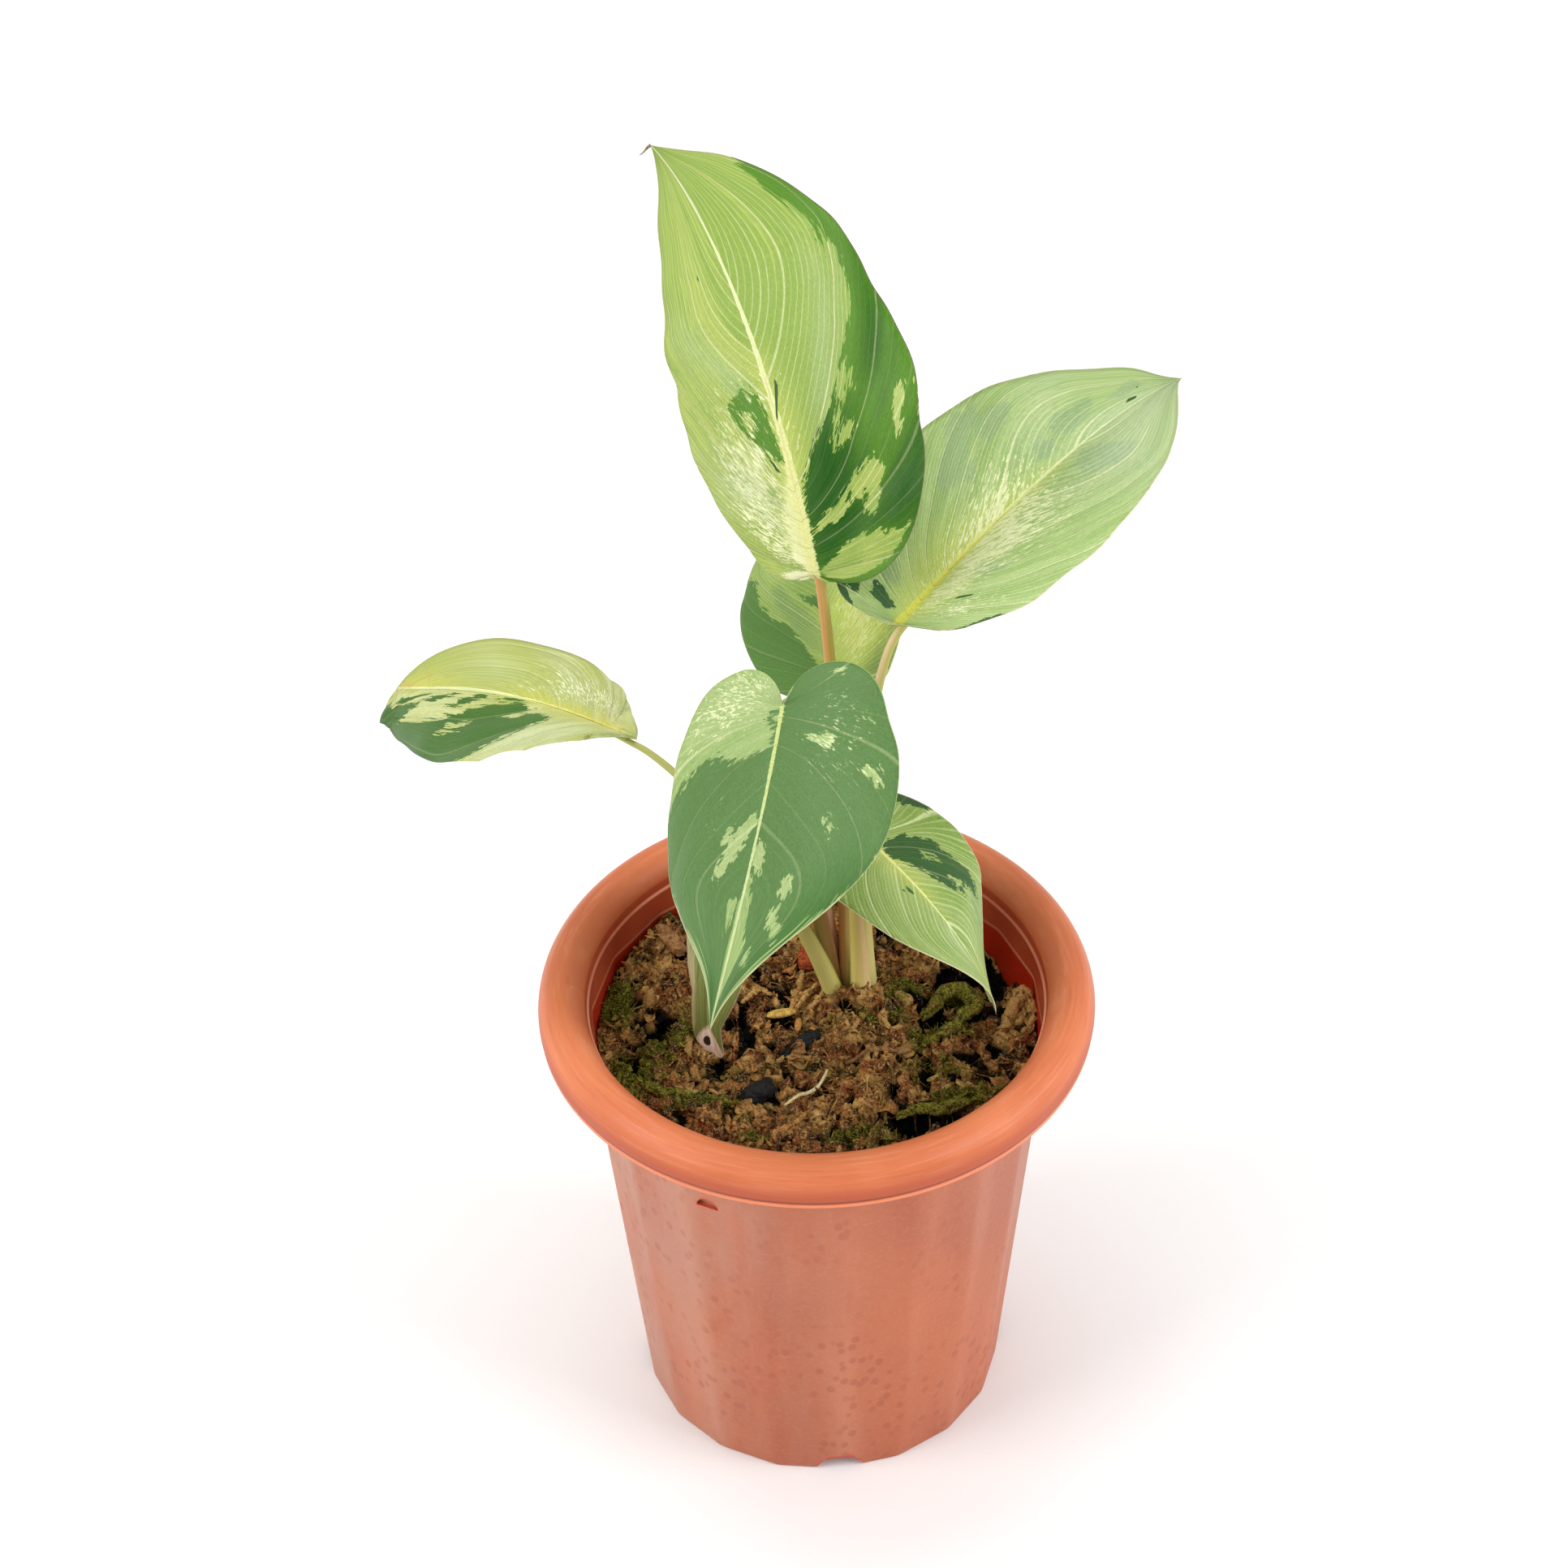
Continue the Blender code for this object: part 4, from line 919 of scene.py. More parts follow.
def leaf_finish(name, number):
    """Satin leaf skin: the leaf pattern with this leaf's greens."""
    material, tree, shader = new_finish(name + "_skin", 0.46, Specular_IOR_Level=0.17)
    leaf = LEAVES[name]
    values = {**own_colours(GREENS, number), "Ragged": leaf["ragged"], "Flecks": leaf["flecks"],
              "Vein Spacing": leaf["spacing"], "Vein Strength": leaf["vein_strength"], "Seed": 3.7 * number}
    pattern = add_node(tree, "ShaderNodeGroup", values, node_tree=leaf_pattern).outputs
    feed(shader, Base_Color=pattern["Color"], Roughness=pattern["Roughness"])
    relief(shader, pattern["Height"], 0.00014)
    return material


# %% Blade relief
BLADE_ROWS, BLADE_HALF_COLUMNS = 184, 28
SKIN, EDGE_SKIN = 0.26, 0.10   # half of the blade's thickness in mm, in the middle and at the edge
tell_leaves(                   # height in mm of the waves and the quilting, and the veins' first place
    ripple=(0.9, 0.8, 0.5, 0.5, 0.5, 0.4, 0.4), quilting=(0.70, 0.35, 0.25, 0.80, 0.45, 0.20, 0.15),
    vein_shift=(-6.0, -5.8, 0, 0, 0, 0, 0))


def grid_normals(points, spare):
    """Unit normals of a grid of points; where the grid shrinks to a point, the spare ones."""
    across, along = np.gradient(points, axis=1), np.gradient(points, axis=0)
    normal = np.cross(across, along)
    size = np.linalg.norm(normal, axis=-1, keepdims=True)
    return np.where(size > 1e-4, normal / np.maximum(size, 1e-9), spare)


def crease(phase):
    """Height between creases one unit apart: 1 - (2 f - 1)^2 with f the part after the point."""
    return 1 - (2 * (phase - np.floor(phase)) - 1) ** 2


def blade_faces(leaf, number, u, t, x, y, travel, points, normal):
    """Upper and lower face: waves at the edge, quilts between the veins, a groove, the skin."""
    ends = np.sin(np.pi * np.clip(u, 0, 1)) ** 0.5
    wave = np.sin(y * 0.16 + number) * 0.6 + np.sin(y * 0.31 + 2.1 * number) * 0.4
    ripple = leaf["ripple"] * wave * np.abs(t) ** 2.5 * ends
    phase = travel / (10 * leaf["spacing"])
    quilt = leaf["quilting"] * (crease(phase) - 0.6) * smooth_step(0.06, 0.40, np.abs(t)) * ends
    small = 0.05 * crease(phase * 3) * smooth_step(0.1, 0.3, np.abs(t)) * ends
    groove = -0.30 * np.exp(-(x / 0.9) ** 2) * ends
    skin = (EDGE_SKIN + (SKIN - EDGE_SKIN) * (1 - np.abs(t) ** 6)) * smooth_step(0, 0.03, 1 - u)
    skin = skin * smooth_step(0, 0.03, u)
    middle = points + normal * (ripple + quilt + small)[..., None]
    return middle + normal * (skin + groove)[..., None], middle - normal * skin[..., None]


# %% Blade meshes
tell_leaves(                   # half width of the pale midrib in mm at its tip and base
    rib_tip=(0.18, 0.20, 0.30, 0.32, 0.40, 0.30, 0.30), rib_base=(2.3, 1.8, 0.9, 1.3, 0.6, 0.8, 0.6))
WITHERED = {"leaf_7": (0.945, 0.985, 0.25)}    # tip dead from u, pale rim from u, place of the hole t
NOWHERE = (9.0, 9.0, 9.0)      # the same for a sound leaf


def both_faces(values):
    """Values on the upper face, and once more for the columns that run back underneath."""
    return np.concatenate([values, values[:, ::-1]], 1)


def build_blade(name, number):
    """Both faces of a blade as one closed loop of columns: over the top and back underneath."""
    leaf = LEAVES[name]
    v = np.linspace(0, 1, BLADE_ROWS)
    s = np.linspace(-1, 1, 2 * BLADE_HALF_COLUMNS + 1)
    u, t = np.meshgrid(1 - (1 - v) ** 1.25, np.sign(s) * np.abs(s) ** 1.35, indexing="ij")
    flat = blade_flat(name, u, t)
    points, face = blade_surface(leaf, flat)
    y = flat[..., 1]
    part = np.clip(y / blade_edge(name, np.ones(1), np.ones(1))[0, 1], 0, 1)
    x = flat[..., 0] - rib_line(name, part)[..., 0]
    wander = 1.6 * (bumps(u * 9 + 3, t * 2.2 + 5 + number, 40 + number) - 0.5)
    travel = vein_number(name, flat, u, t) * leaf["length"] * TRAVEL + leaf["vein_shift"] + wander
    top, low = blade_faces(leaf, number, u, t, x, y, travel, points, grid_normals(points, face))
    lowest, highest = (np.array(corner) / MM for corner in cad_box)
    both = np.clip(np.concatenate([top, low[:, ::-1]], 1), lowest, highest)
    around = both_faces(t)
    uv = side_by_side(around * np.where(around < 0, leaf["left"], leaf["right"]), both_faces(travel)) / 10

    def fields(softness, *kinds):
        return [both_faces(patch_field(leaf, u, t, PATCHES[name].get(kind, ()), softness)) for kind in kinds]

    light, dark, cream, mid, mark = fields(CRISP, "light", "dark", "cream", "mid", "marks")
    # Soft fields: flecks, deep green, warm tinge, the painted sheen and the dim zones.
    fleck, deep, warm, painted_sheen, dim = fields(SOFT, "fleck", "deep", "warm", "painted_sheen", "dim")
    orange, = fields(SOFT / 2, "orange")
    from_edge = both_faces(np.linalg.norm(flat - blade_edge(name, u, t), axis=-1)) / 10
    rib_half = leaf["rib_tip"] + (leaf["rib_base"] - leaf["rib_tip"]) * (1 - part) ** 2.2
    from_rib = both_faces(np.hypot(x, np.minimum(y, 0)) / rib_half)
    under = np.concatenate([np.zeros_like(t), np.ones_like(t)], 1)
    dead_from, rim_from, hole_t = WITHERED.get(name, NOWHERE)
    withered = both_faces(np.clip(0.5 + (u - dead_from) * 12, 0, 1))
    rim = np.clip(0.5 + (u - rim_from) * 20, 0, 0.8)
    hole = np.clip(1.30 - np.hypot((u - dead_from - 0.027) * 36, (t - hole_t) * 1.3), 0, 1)
    rows, columns = both.shape[:2]
    obj = make_piece(name + "_blade_skin", both, [grid_faces(rows, columns, round_columns=True)], uv=uv,
                     fields={"patches": side_by_side(np.minimum(dark, 1 - light), cream, mid, fleck),
                             "tones": side_by_side(deep, warm, mark, both_faces(np.maximum(rim, hole))),
                             "place_on_leaf": side_by_side(under, from_edge, from_rib, withered),
                             "sheen": side_by_side(painted_sheen, orange, dim, both_faces(part))})
    place(obj, leaf_finish(name, number), name + "_blade", name + "_blade")


for number, name in enumerate(LEAVES, 1):
    build_blade(name, number)

# %% [markdown]
# ## Petioles
# A petiole is a round, slightly grooved stalk. It widens into a sheath where it leaves the crown,
# and under its blade it runs on as the midrib, which tapers to nothing near the tip. It could be a
# curve with a bevel, but a tube of rings gives the taper, the sheath and a colour along it.


# %% Tubes
def tube_rings(paths, radii, sides, flatten=1.0):
    """Rings round many paths at once: path + radius * (cos a * side + sin a * up).

    paths is N x K x 3 and radii N x K. The side is square to the path and to the world axis that
    the path follows least.
    """
    ahead = unit(np.gradient(paths, axis=1))
    span = np.abs(ahead).max(axis=1)
    axis = np.eye(3)[np.argmin(span, axis=1)][:, None, :]
    side = unit(np.cross(ahead, np.broadcast_to(axis, ahead.shape)))
    up = np.cross(ahead, side)
    a = np.linspace(0, 2 * np.pi, sides, endpoint=False)[None, None, :, None]
    ring = np.cos(a) * side[:, :, None] + flatten * np.sin(a) * up[:, :, None]
    return paths[:, :, None] + radii[:, :, None, None] * ring


def tube_faces(count, knots, sides):
    """Quads of count tubes of knots rings each, and one face for each of their ends."""
    one = grid_faces(knots, sides, round_columns=True)
    shift = np.arange(count)[:, None, None] * knots * sides
    quads = (one[None] + shift).reshape(-1, 4)
    first = np.arange(sides)[::-1][None] + shift[:, :, 0]
    last = (knots - 1) * sides + np.arange(sides)[None] + shift[:, :, 0]
    return [quads, np.concatenate([first, last])]


def petiole_path(leaf):
    """Points and radii of a petiole and its midrib in mm: a Bezier stalk, then along the rib."""
    rib = np.linspace(0, 0.93, 70)
    neck_radius = leaf["neck"]
    rib_radius = neck_radius + (0.25 - neck_radius) * rib ** 0.6
    place_at, ahead, _, face = midrib_frame(leaf, rib * leaf["length"])
    sunk = BLADE / 2 + GAP + rib_radius - 0.62 * smooth_step(0.0, 0.12, rib)
    under = place_at - face * sunk[:, None]
    foot = np.array([CROWN_X + leaf["foot"][0], CROWN_Y + leaf["foot"][1], CROWN_TOP + GAP])
    neck = foot + np.array([0, 0, 1.5])
    up = np.array([leaf["lean"][0], leaf["lean"][1], 1.0])
    height = np.linalg.norm(under[0] - neck)
    t = np.linspace(0, 1, 61)[:-1]
    stalk = bezier((neck, neck + up * height * 0.38, under[0] - ahead[0] * height * 0.12, under[0]), t)
    sheath = 0.9 * (1 - smooth_step(0.0, 0.45, t))
    stalk_radius = PETIOLE_FOOT_RADIUS + (neck_radius - PETIOLE_FOOT_RADIUS) * t ** 0.6 + sheath
    sunk_foot = foot - np.array([0, 0, 4.0])
    points = np.vstack([sunk_foot, foot, stalk, under])
    radii = np.concatenate([[2.6, 3.0], stalk_radius, rib_radius])
    share = np.concatenate([[0.0, 0.0], t, 1.0 + rib])
    return points, radii, share


# %% Stalk skin
def build_stalk_skin():
    """Colour along a stalk: foot, stem, neck and midrib, streaked lengthwise, one side blushed."""
    tree, given, out = new_group("stalk_skin", ("Foot", "Stem", "Blush", "Neck", "Rib"), ("Seed",),
                                 {"Color": "Color", "Height": "Float"})
    share, side, _, _ = channels(tree, "along_stalk")
    spot = add_node(tree, "ShaderNodeCombineXYZ", {"X": times(side, 9.0), "Y": times(share, 2.5),
                                                   "Z": given["Seed"]}).outputs[0]
    streak = grain(spot, 1.2, 4.0, 0.6)
    dots = grain(object_place(tree), 1600.0, 2.0, 0.7)
    tone = layers(blend(ease(times_plus(streak, 0.2, share), 0.15, 0.55), given["Foot"], given["Stem"]),
                  (share, 0.72, 1.0, 1.0, given["Neck"]),
                  (share, 1.0, 1.15, 1.0, given["Rib"]),
                  (times_plus(streak, 0.6, side), 0.65, 1.1, 0.8, given["Blush"]),
                  (dots, 0.64, 0.70, 0.25, (120, 96, 62)))
    feed(out, Color=tone, Height=streak)
    return tree


stalk_skin = build_stalk_skin()
STALKS = {                     # one colour for each of the leaves 1 to 7
    "Foot": ((216, 206, 130), (226, 218, 140), (190, 186, 80), (214, 208, 124), (240, 206, 174),
             (244, 232, 140), (186, 162, 98)),
    "Stem": ((160, 140, 40), (178, 170, 84), (156, 154, 56), (196, 196, 112), (232, 200, 156),
             (232, 220, 120), (158, 148, 74)),
    "Blush": ((218, 152, 96), (230, 200, 160), (170, 138, 76), (148, 160, 80), (208, 160, 140),
              (240, 206, 156), (180, 136, 92)),
    "Neck": ((176, 150, 74), (186, 180, 92), (150, 154, 78), (196, 198, 110), (186, 182, 112),
             (190, 190, 104), (134, 138, 72)),
    "Rib": [(178, 190, 118)] * 7,
}
BLUSH_OTHER_SIDE = ("leaf_1", "leaf_2")
STALK_SIDES = 20


# %% Stalk meshes
def build_petiole(name, number):
    """A tube along the petiole and its midrib, closed at both ends."""
    points, radii, share = petiole_path(LEAVES[name])
    rings = tube_rings(points[None], radii[None], STALK_SIDES)[0]
    turn = np.linspace(0, 1, STALK_SIDES, endpoint=False)
    side = np.abs(2 * ((turn + 0.25) % 1) - 1)
    side = 1 - side if name in BLUSH_OTHER_SIDE else side
    obj = make_piece(name + "_stalk", rings, tube_faces(1, len(points), STALK_SIDES),
                     fields={"along_stalk": side_by_side(share[:, None], side, 0, 1)})
    material, tree, shader = new_finish(name + "_stalk_skin", 0.42, Specular_IOR_Level=0.45)
    values = {**own_colours(STALKS, number), "Seed": 2.3 * number}
    pattern = add_node(tree, "ShaderNodeGroup", values, node_tree=stalk_skin).outputs
    feed(shader, Base_Color=pattern["Color"])
    relief(shader, pattern["Height"], 0.0002)
    place(obj, material, name + "_petiole", name + "_petiole")


for number, name in enumerate(LEAVES, 1):
    build_petiole(name, number)

# %% [markdown]
# ## The pot
# A thin moulded pot: a rolled rim with an open channel under it, a thin lip, a tapering wall of 18
# flat panels with soft ridges, and a raised floor ring. A Screw modifier would do for the CAD; here
# the profile is turned as a grid of rings, so that its corners can be rounded and the panels
# pulled in by a formula with soft ridges. The arched notches in the foot, the drain holes and the
# small half-moon dent under the lip are cut with Booleans, because they cross the grid's lines.

# %% Pot sizes
RIM_RADIUS, RIM_TOP = 80.0, 150.4
ROLL_HALF_WIDTH, ROLL_MIDDLE = 7.0, 141.7
ROLL_RADIUS = RIM_RADIUS - ROLL_HALF_WIDTH
LIP_RADIUS, LIP_BOTTOM, LIP_HEIGHT = 79.6, 137.7, 1.5
WALL_TOP_RADIUS, FOOT_RADIUS, WALL = 67.5, 52.8, 1.8
COLLAR_RADIUS, COLLAR_LOW, COLLAR_HIGH = 65.4, 134.0, 142.0
FLOOR_RISE, FLOOR_DISC, FOOT_RING = 6.0, 36.0, 4.0
PANELS, RIDGE_ANGLE = 18, 4.5
RIDGE_CRISP, RIDGE_ROUNDING = 60.0, 0.0022
DRAIN_HOLES, DRAIN_RADIUS = 8, 3.5
NOTCHES, NOTCH_ANGLE, NOTCH_WIDTH, NOTCH_HEIGHT = 4, 5.0, 14.0, 5.5
DENT_ANGLE, DENT_HEIGHT, DENT_RADIUS, DENT_DEPTH, DENT_SIDES = -119.8, 114.8, 3.3, 2.1, 20
POT_TURNS = PANELS * 18


def ellipse(centre, radii, start, end, count):
    """Points on an ellipse arc, in degrees, both ends kept."""
    a = np.radians(np.linspace(start, end, count))
    return side_by_side(centre[0] + radii[0] * np.cos(a), centre[1] + radii[1] * np.sin(a))


def wall_radius(height):
    """Outside radius of the wall's ridges at a height, in mm."""
    return FOOT_RADIUS + (WALL_TOP_RADIUS - FOOT_RADIUS) * height / LIP_BOTTOM


def panel_factor(angle):
    """1 on a ridge and less on a panel: cos(10 deg) / cos(off), the ridge rounded and lowered."""
    step = 2 * np.pi / PANELS
    off = (angle + np.pi / 2 - math.radians(RIDGE_ANGLE)) % step - step / 2
    flat = math.cos(step / 2) / np.cos(off)
    soft = np.exp(-((np.abs(off) - step / 2) * RIDGE_CRISP) ** 2)
    return flat - RIDGE_ROUNDING * soft


def rounded(corners, radii, steps=4):
    """A profile with each corner replaced by a small quadratic arc of the given reach."""
    corners, radii = np.asarray(corners, float), np.asarray(radii, float)
    before, after = corners[:-2] - corners[1:-1], corners[2:] - corners[1:-1]
    reach = radii[1:-1, None]
    start = corners[1:-1] + unit(before) * np.minimum(reach, np.linalg.norm(before, axis=1)[:, None] / 2)
    end = corners[1:-1] + unit(after) * np.minimum(reach, np.linalg.norm(after, axis=1)[:, None] / 2)
    s = np.linspace(0, 1, steps)[None, :, None]
    arc = (1 - s) ** 2 * start[:, None] + 2 * (1 - s) * s * corners[1:-1][:, None] + s ** 2 * end[:, None]
    return np.vstack([corners[:1], arc.reshape(-1, 2), corners[-1:]])


def fill_in(profile, longest):
    """A profile with its long straight stretches divided evenly."""
    step = np.linalg.norm(np.diff(profile, axis=0), axis=1)
    pieces = [np.linspace(a, b, max(2, int(np.ceil(d / longest)) + 1))[:-1]
              for a, b, d in zip(profile, profile[1:], step)]
    return np.vstack(pieces + [profile[-1:]])


# %% Pot profile and wall
def pot_profile():
    """From the middle of the underside, up outside, over the roll and down inside."""
    half_height = RIM_TOP - ROLL_MIDDLE
    floor_top = FLOOR_RISE + WALL
    ring_inner = FOOT_RADIUS - FOOT_RING
    foot = rounded([(0, 0), (FLOOR_DISC, 0), (FLOOR_DISC + 1.5, FLOOR_RISE), (ring_inner - 0.4, FLOOR_RISE),
                    (ring_inner + 1, 0), (FOOT_RADIUS, 0), (WALL_TOP_RADIUS, LIP_BOTTOM)],
                   [0, 0.8, 0.6, 0.6, 0.6, 0.9, 0])
    channel = ellipse((ROLL_RADIUS - 0.2, ROLL_MIDDLE),
                      (ROLL_HALF_WIDTH - WALL, half_height - WALL), 180, 0, 16)
    lip = rounded([(LIP_RADIUS - WALL, LIP_BOTTOM), (LIP_RADIUS - WALL, LIP_BOTTOM),
                   (LIP_RADIUS, LIP_BOTTOM), (LIP_RADIUS, LIP_BOTTOM + LIP_HEIGHT - 0.1),
                   (LIP_RADIUS - 0.9, LIP_BOTTOM + LIP_HEIGHT), (LIP_RADIUS - 0.95, LIP_BOTTOM + 1.8)],
                  [0, 0.1, 0.35, 0.35, 0.3, 0])
    roll = ellipse((ROLL_RADIUS, ROLL_MIDDLE), (ROLL_HALF_WIDTH, half_height), -14, 176, 40)
    inside = rounded([(COLLAR_RADIUS, COLLAR_HIGH), (COLLAR_RADIUS, COLLAR_LOW),
                      (wall_radius(COLLAR_LOW) - WALL, COLLAR_LOW - 0.3),
                      (wall_radius(floor_top) - WALL, floor_top), (FLOOR_DISC, floor_top),
                      (FLOOR_DISC - 1.5, WALL), (0, WALL)],
                     [0, 0.5, 0.5, 1.0, 0.8, 0.8, 0])
    profile = np.vstack([fill_in(foot, 3.0), channel, lip, roll, fill_in(inside, 4.0)])
    keep = np.append(True, np.linalg.norm(np.diff(profile, axis=0), axis=1) > 0.01)
    return profile[keep]


def turned_points(profile, turns):
    """A profile of (radius, height) turned about Z: (r cos a, r sin a, z)."""
    a = np.linspace(0, 2 * np.pi, turns, endpoint=False)[None]
    r, z = profile[:, :1], profile[:, 1:]
    return side_by_side(r * np.cos(a), r * np.sin(a), z), a


def cut_away(obj, cutters):
    """Cut every cutter out of obj for good, then take the cutters away."""
    for k, cutter in enumerate(cutters):
        modifier = obj.modifiers.new(f"cut_{k}", "BOOLEAN")
        modifier.operation = "DIFFERENCE"
        modifier.object = cutter
        modifier.solver = "EXACT"
    graph = bpy.context.evaluated_depsgraph_get()
    mesh = bpy.data.meshes.new_from_object(obj.evaluated_get(graph))
    old = obj.data
    obj.modifiers.clear()
    obj.data = mesh
    bpy.data.meshes.remove(old)
    for cutter in cutters:
        bpy.data.objects.remove(cutter, do_unlink=True)


def rod(name, radius, length, centre, axis, sides):
    """A closed cylinder along a unit axis, in mm."""
    ends = np.array([-0.5, 0.5])[:, None] * length * np.array(axis) + np.array(centre)
    rings = tube_rings(ends[None], np.full((1, 2), radius), sides)
    return make_piece(name, rings, tube_faces(1, 2, sides), merge=False)


def pot_cutters():
    """Drain holes through the raised ring, and arched notches through the foot."""
    middle = (FLOOR_DISC + FOOT_RADIUS - FOOT_RING) / 2 + 0.5
    arch_radius = (NOTCH_WIDTH ** 2 / 4 + NOTCH_HEIGHT ** 2) / (2 * NOTCH_HEIGHT)
    reach = FOOT_RADIUS - FOOT_RING / 2 + 0.5
    cutters = []
    for k in range(DRAIN_HOLES):
        a = 2 * math.pi * (k + 0.5) / DRAIN_HOLES
        centre = (middle * math.cos(a), middle * math.sin(a), FLOOR_RISE + WALL / 2)
        cutters.append(rod(f"drain_{k}", DRAIN_RADIUS, 3 * WALL, centre, (0, 0, 1), 24))
    for k in range(NOTCHES):
        a = math.radians(NOTCH_ANGLE - 90 + 360 * k / NOTCHES)
        out = (math.cos(a), math.sin(a), 0.0)
        centre = (reach * out[0], reach * out[1], NOTCH_HEIGHT - arch_radius)
        cutters.append(rod(f"notch_{k}", arch_radius, FOOT_RING + 5, centre, out, 48))
    cutters.append(half_moon())
    return cutters


def half_moon():
    """A shallow dent with a flat lower edge: a half disc, as deep as half the wall."""
    around = math.radians(DENT_ANGLE)
    out = np.array([math.cos(around), math.sin(around), 0.0])
    beside = np.array([-out[1], out[0], 0.0])
    a = np.linspace(0, np.pi, DENT_SIDES)
    disc = DENT_RADIUS * (np.cos(a)[:, None] * beside + np.sin(a)[:, None] * np.array([0.0, 0.0, 1.0]))
    deep = wall_radius(DENT_HEIGHT) + np.array([-DENT_DEPTH, 3.0])
    rings = deep[:, None, None] * out + disc[None] + np.array([0.0, 0.0, DENT_HEIGHT])
    return make_piece("dent", rings, tube_faces(1, 2, DENT_SIDES), merge=False)


# %% Pot finish
def pot_colours(spot, level, cloud, patchy):
    """The wall, the rolled rim and the inside: each its own two browns, worn and marked; the rim also has
    painted shade under the roll, a painted shadow over the lip and a painted highlight on the lip.
    """
    tree = tree_of(spot)
    x, y, z = add_node(tree, "ShaderNodeSeparateXYZ", {"Vector": spot}).outputs
    painted_reflection_bands = grain(stretched(spot, (70.0, 70.0, 3.0)), 1.0, 2.0)
    chalk = grain(stretched(spot, (40.0, 40.0, 10.0)), 1.0, 4.0, 0.6)
    chalk = times(ease(chalk, 0.32, 0.62), ease(x, 0.025, -0.045, 0.10, 0.66))
    film = grain(spot, 700.0, 3.0, 0.7)
    drops = add_node(tree, "ShaderNodeTexVoronoi", {"Vector": stretched(spot, (1.0, 1.0, 0.8)),
                                                    "Scale": 250.0}).outputs["Distance"]
    drops = times(ease(drops, 0.42, 0.22), ease(patchy, 0.36, 0.60))
    wall = blend(ease(cloud, 0.3, 0.7), (172, 88, 56), (191, 103, 66))
    # Pale vertical stripes laid over the wall: a painted reflection.
    wall = layers(wall, (painted_reflection_bands, 0.45, 0.75, 0.28, (218, 146, 112)))
    wall = layers(blend(chalk, wall, (186, 132, 110)), (film, 0.45, 0.70, 0.16, (206, 146, 112)))
    wall = blend(times(drops, 0.50), wall, (162, 82, 56))

    away = calc("SQRT", calc("ADD", times(x, x), times(y, y)))
    round_rim = add_node(tree, "ShaderNodeCombineXYZ", {
        "X": times(calc("ARCTAN2", y, x), 3.0), "Y": times(calc("SUBTRACT", away, z), 500.0)}).outputs[0]
    rubbed = grain(round_rim, 1.0, 4.0, 0.65)
    rolled = layers(blend(ease(cloud, 0.3, 0.7), (209, 111, 68), (222, 126, 81)),
                    (rubbed, 0.48, 0.70, 0.40, (232, 150, 112)),
                    (rubbed, 0.46, 0.30, 0.35, (184, 88, 52)),
                    (level, 0.978, 0.938, 0.90, (182, 78, 42)),          # painted shade on the roll's underside
                    (level, 0.936, 0.930, 0.70, (120, 50, 28)),          # the shadow over the lip
                    (level, 0.9270, 0.9258, 1.0, (236, 136, 94)))        # painted highlight along the lip's top

    inner = blend(ease(cloud, 0.35, 0.65), (170, 34, 10), (190, 46, 18))
    collar = blend(ease(cloud, 0.35, 0.65), (176, 70, 40), (196, 88, 56))
    inner = layers(inner, (level, 0.880, 0.892, 1.0, collar))
    for step_height in (COLLAR_LOW, COLLAR_HIGH):
        off = calc("ABSOLUTE", calc("SUBTRACT", level, step_height / RIM_TOP))
        line = times(ease(off, 0.0045, 0.0015), ease(patchy, 0.30, 0.60, 0.4, 0.9))
        inner = blend(line, inner, (232, 150, 118))
    return wall, rolled, inner


def pot_finish():
    """Moulded plastic: scuffed orange-brown, dried water marks, pale vertical stripes of painted reflection,
    red inside.
    """
    material, tree, shader = new_finish("terracotta_plastic", 0.50, Specular_IOR_Level=0.38)
    spot = object_place(tree)
    rim, inside, level, _ = channels(tree, "pot_zone")
    cloud = grain(stretched(spot, (22.0, 22.0, 14.0)), 1.0, 3.0)
    wall, rolled, inner = pot_colours(spot, level, cloud, grain(spot, 30.0, 2.0))
    scratch = grain(stretched(spot, (60.0, 60.0, 1400.0)), 1.0, 3.0, 0.7)
    dust = grain(spot, 1800.0, 2.0, 0.7)
    tone = layers(blend(inside, blend(rim, wall, rolled), inner),
                  (scratch, 0.66, 0.74, 0.25, (226, 166, 136)),
                  (dust, 0.66, 0.74, 0.25, (120, 70, 50)))
    scratch = ease(scratch, 0.66, 0.74)
    feed(shader, Base_Color=tone, Roughness=times_plus(scratch, 0.15, ease(cloud, 0.3, 0.7, 0.38, 0.52)))
    relief(shader, times_plus(scratch, -0.6, grain(spot, 1500.0, 3.0)), 0.00006)
    return material


# %% Pot mesh
def build_pot():
    """The turned profile, its wall pulled in to flat panels, then cut."""
    profile = pot_profile()
    points, a = turned_points(profile, POT_TURNS)
    r, z = profile[:, :1], profile[:, 1:]
    on_wall = (z <= LIP_BOTTOM + 0.01) & (r > FOOT_RADIUS - WALL - 1) & (r < WALL_TOP_RADIUS + 0.6)
    level = smooth_step(LIP_BOTTOM + 0.01, LIP_BOTTOM - 1.2, z) * on_wall
    points[..., :2] *= (1 + (panel_factor(a) - 1) * level)[..., None]
    is_rim = (z > LIP_BOTTOM - 0.5) & (r > COLLAR_RADIUS + 0.8)
    inward = np.gradient(profile[:, 1])[:, None] <= 0
    is_inside = inward & (z > WALL - 0.01) & (r < COLLAR_RADIUS + 1.4) & (z < COLLAR_HIGH + 2.5)
    zone = side_by_side(is_rim + 0 * a, is_inside, z / RIM_TOP, 1)
    pot = make_piece("pot_shell", points, [grid_faces(len(profile), POT_TURNS, round_columns=True)],
                     fields={"pot_zone": zone})
    cut_away(pot, pot_cutters())
    pot.data.polygons.foreach_set("use_smooth", np.full(len(pot.data.polygons), True))
    pot.data.set_sharp_from_angle(angle=math.radians(40))
    place(pot, pot_finish(), "pot", "pot")


build_pot()

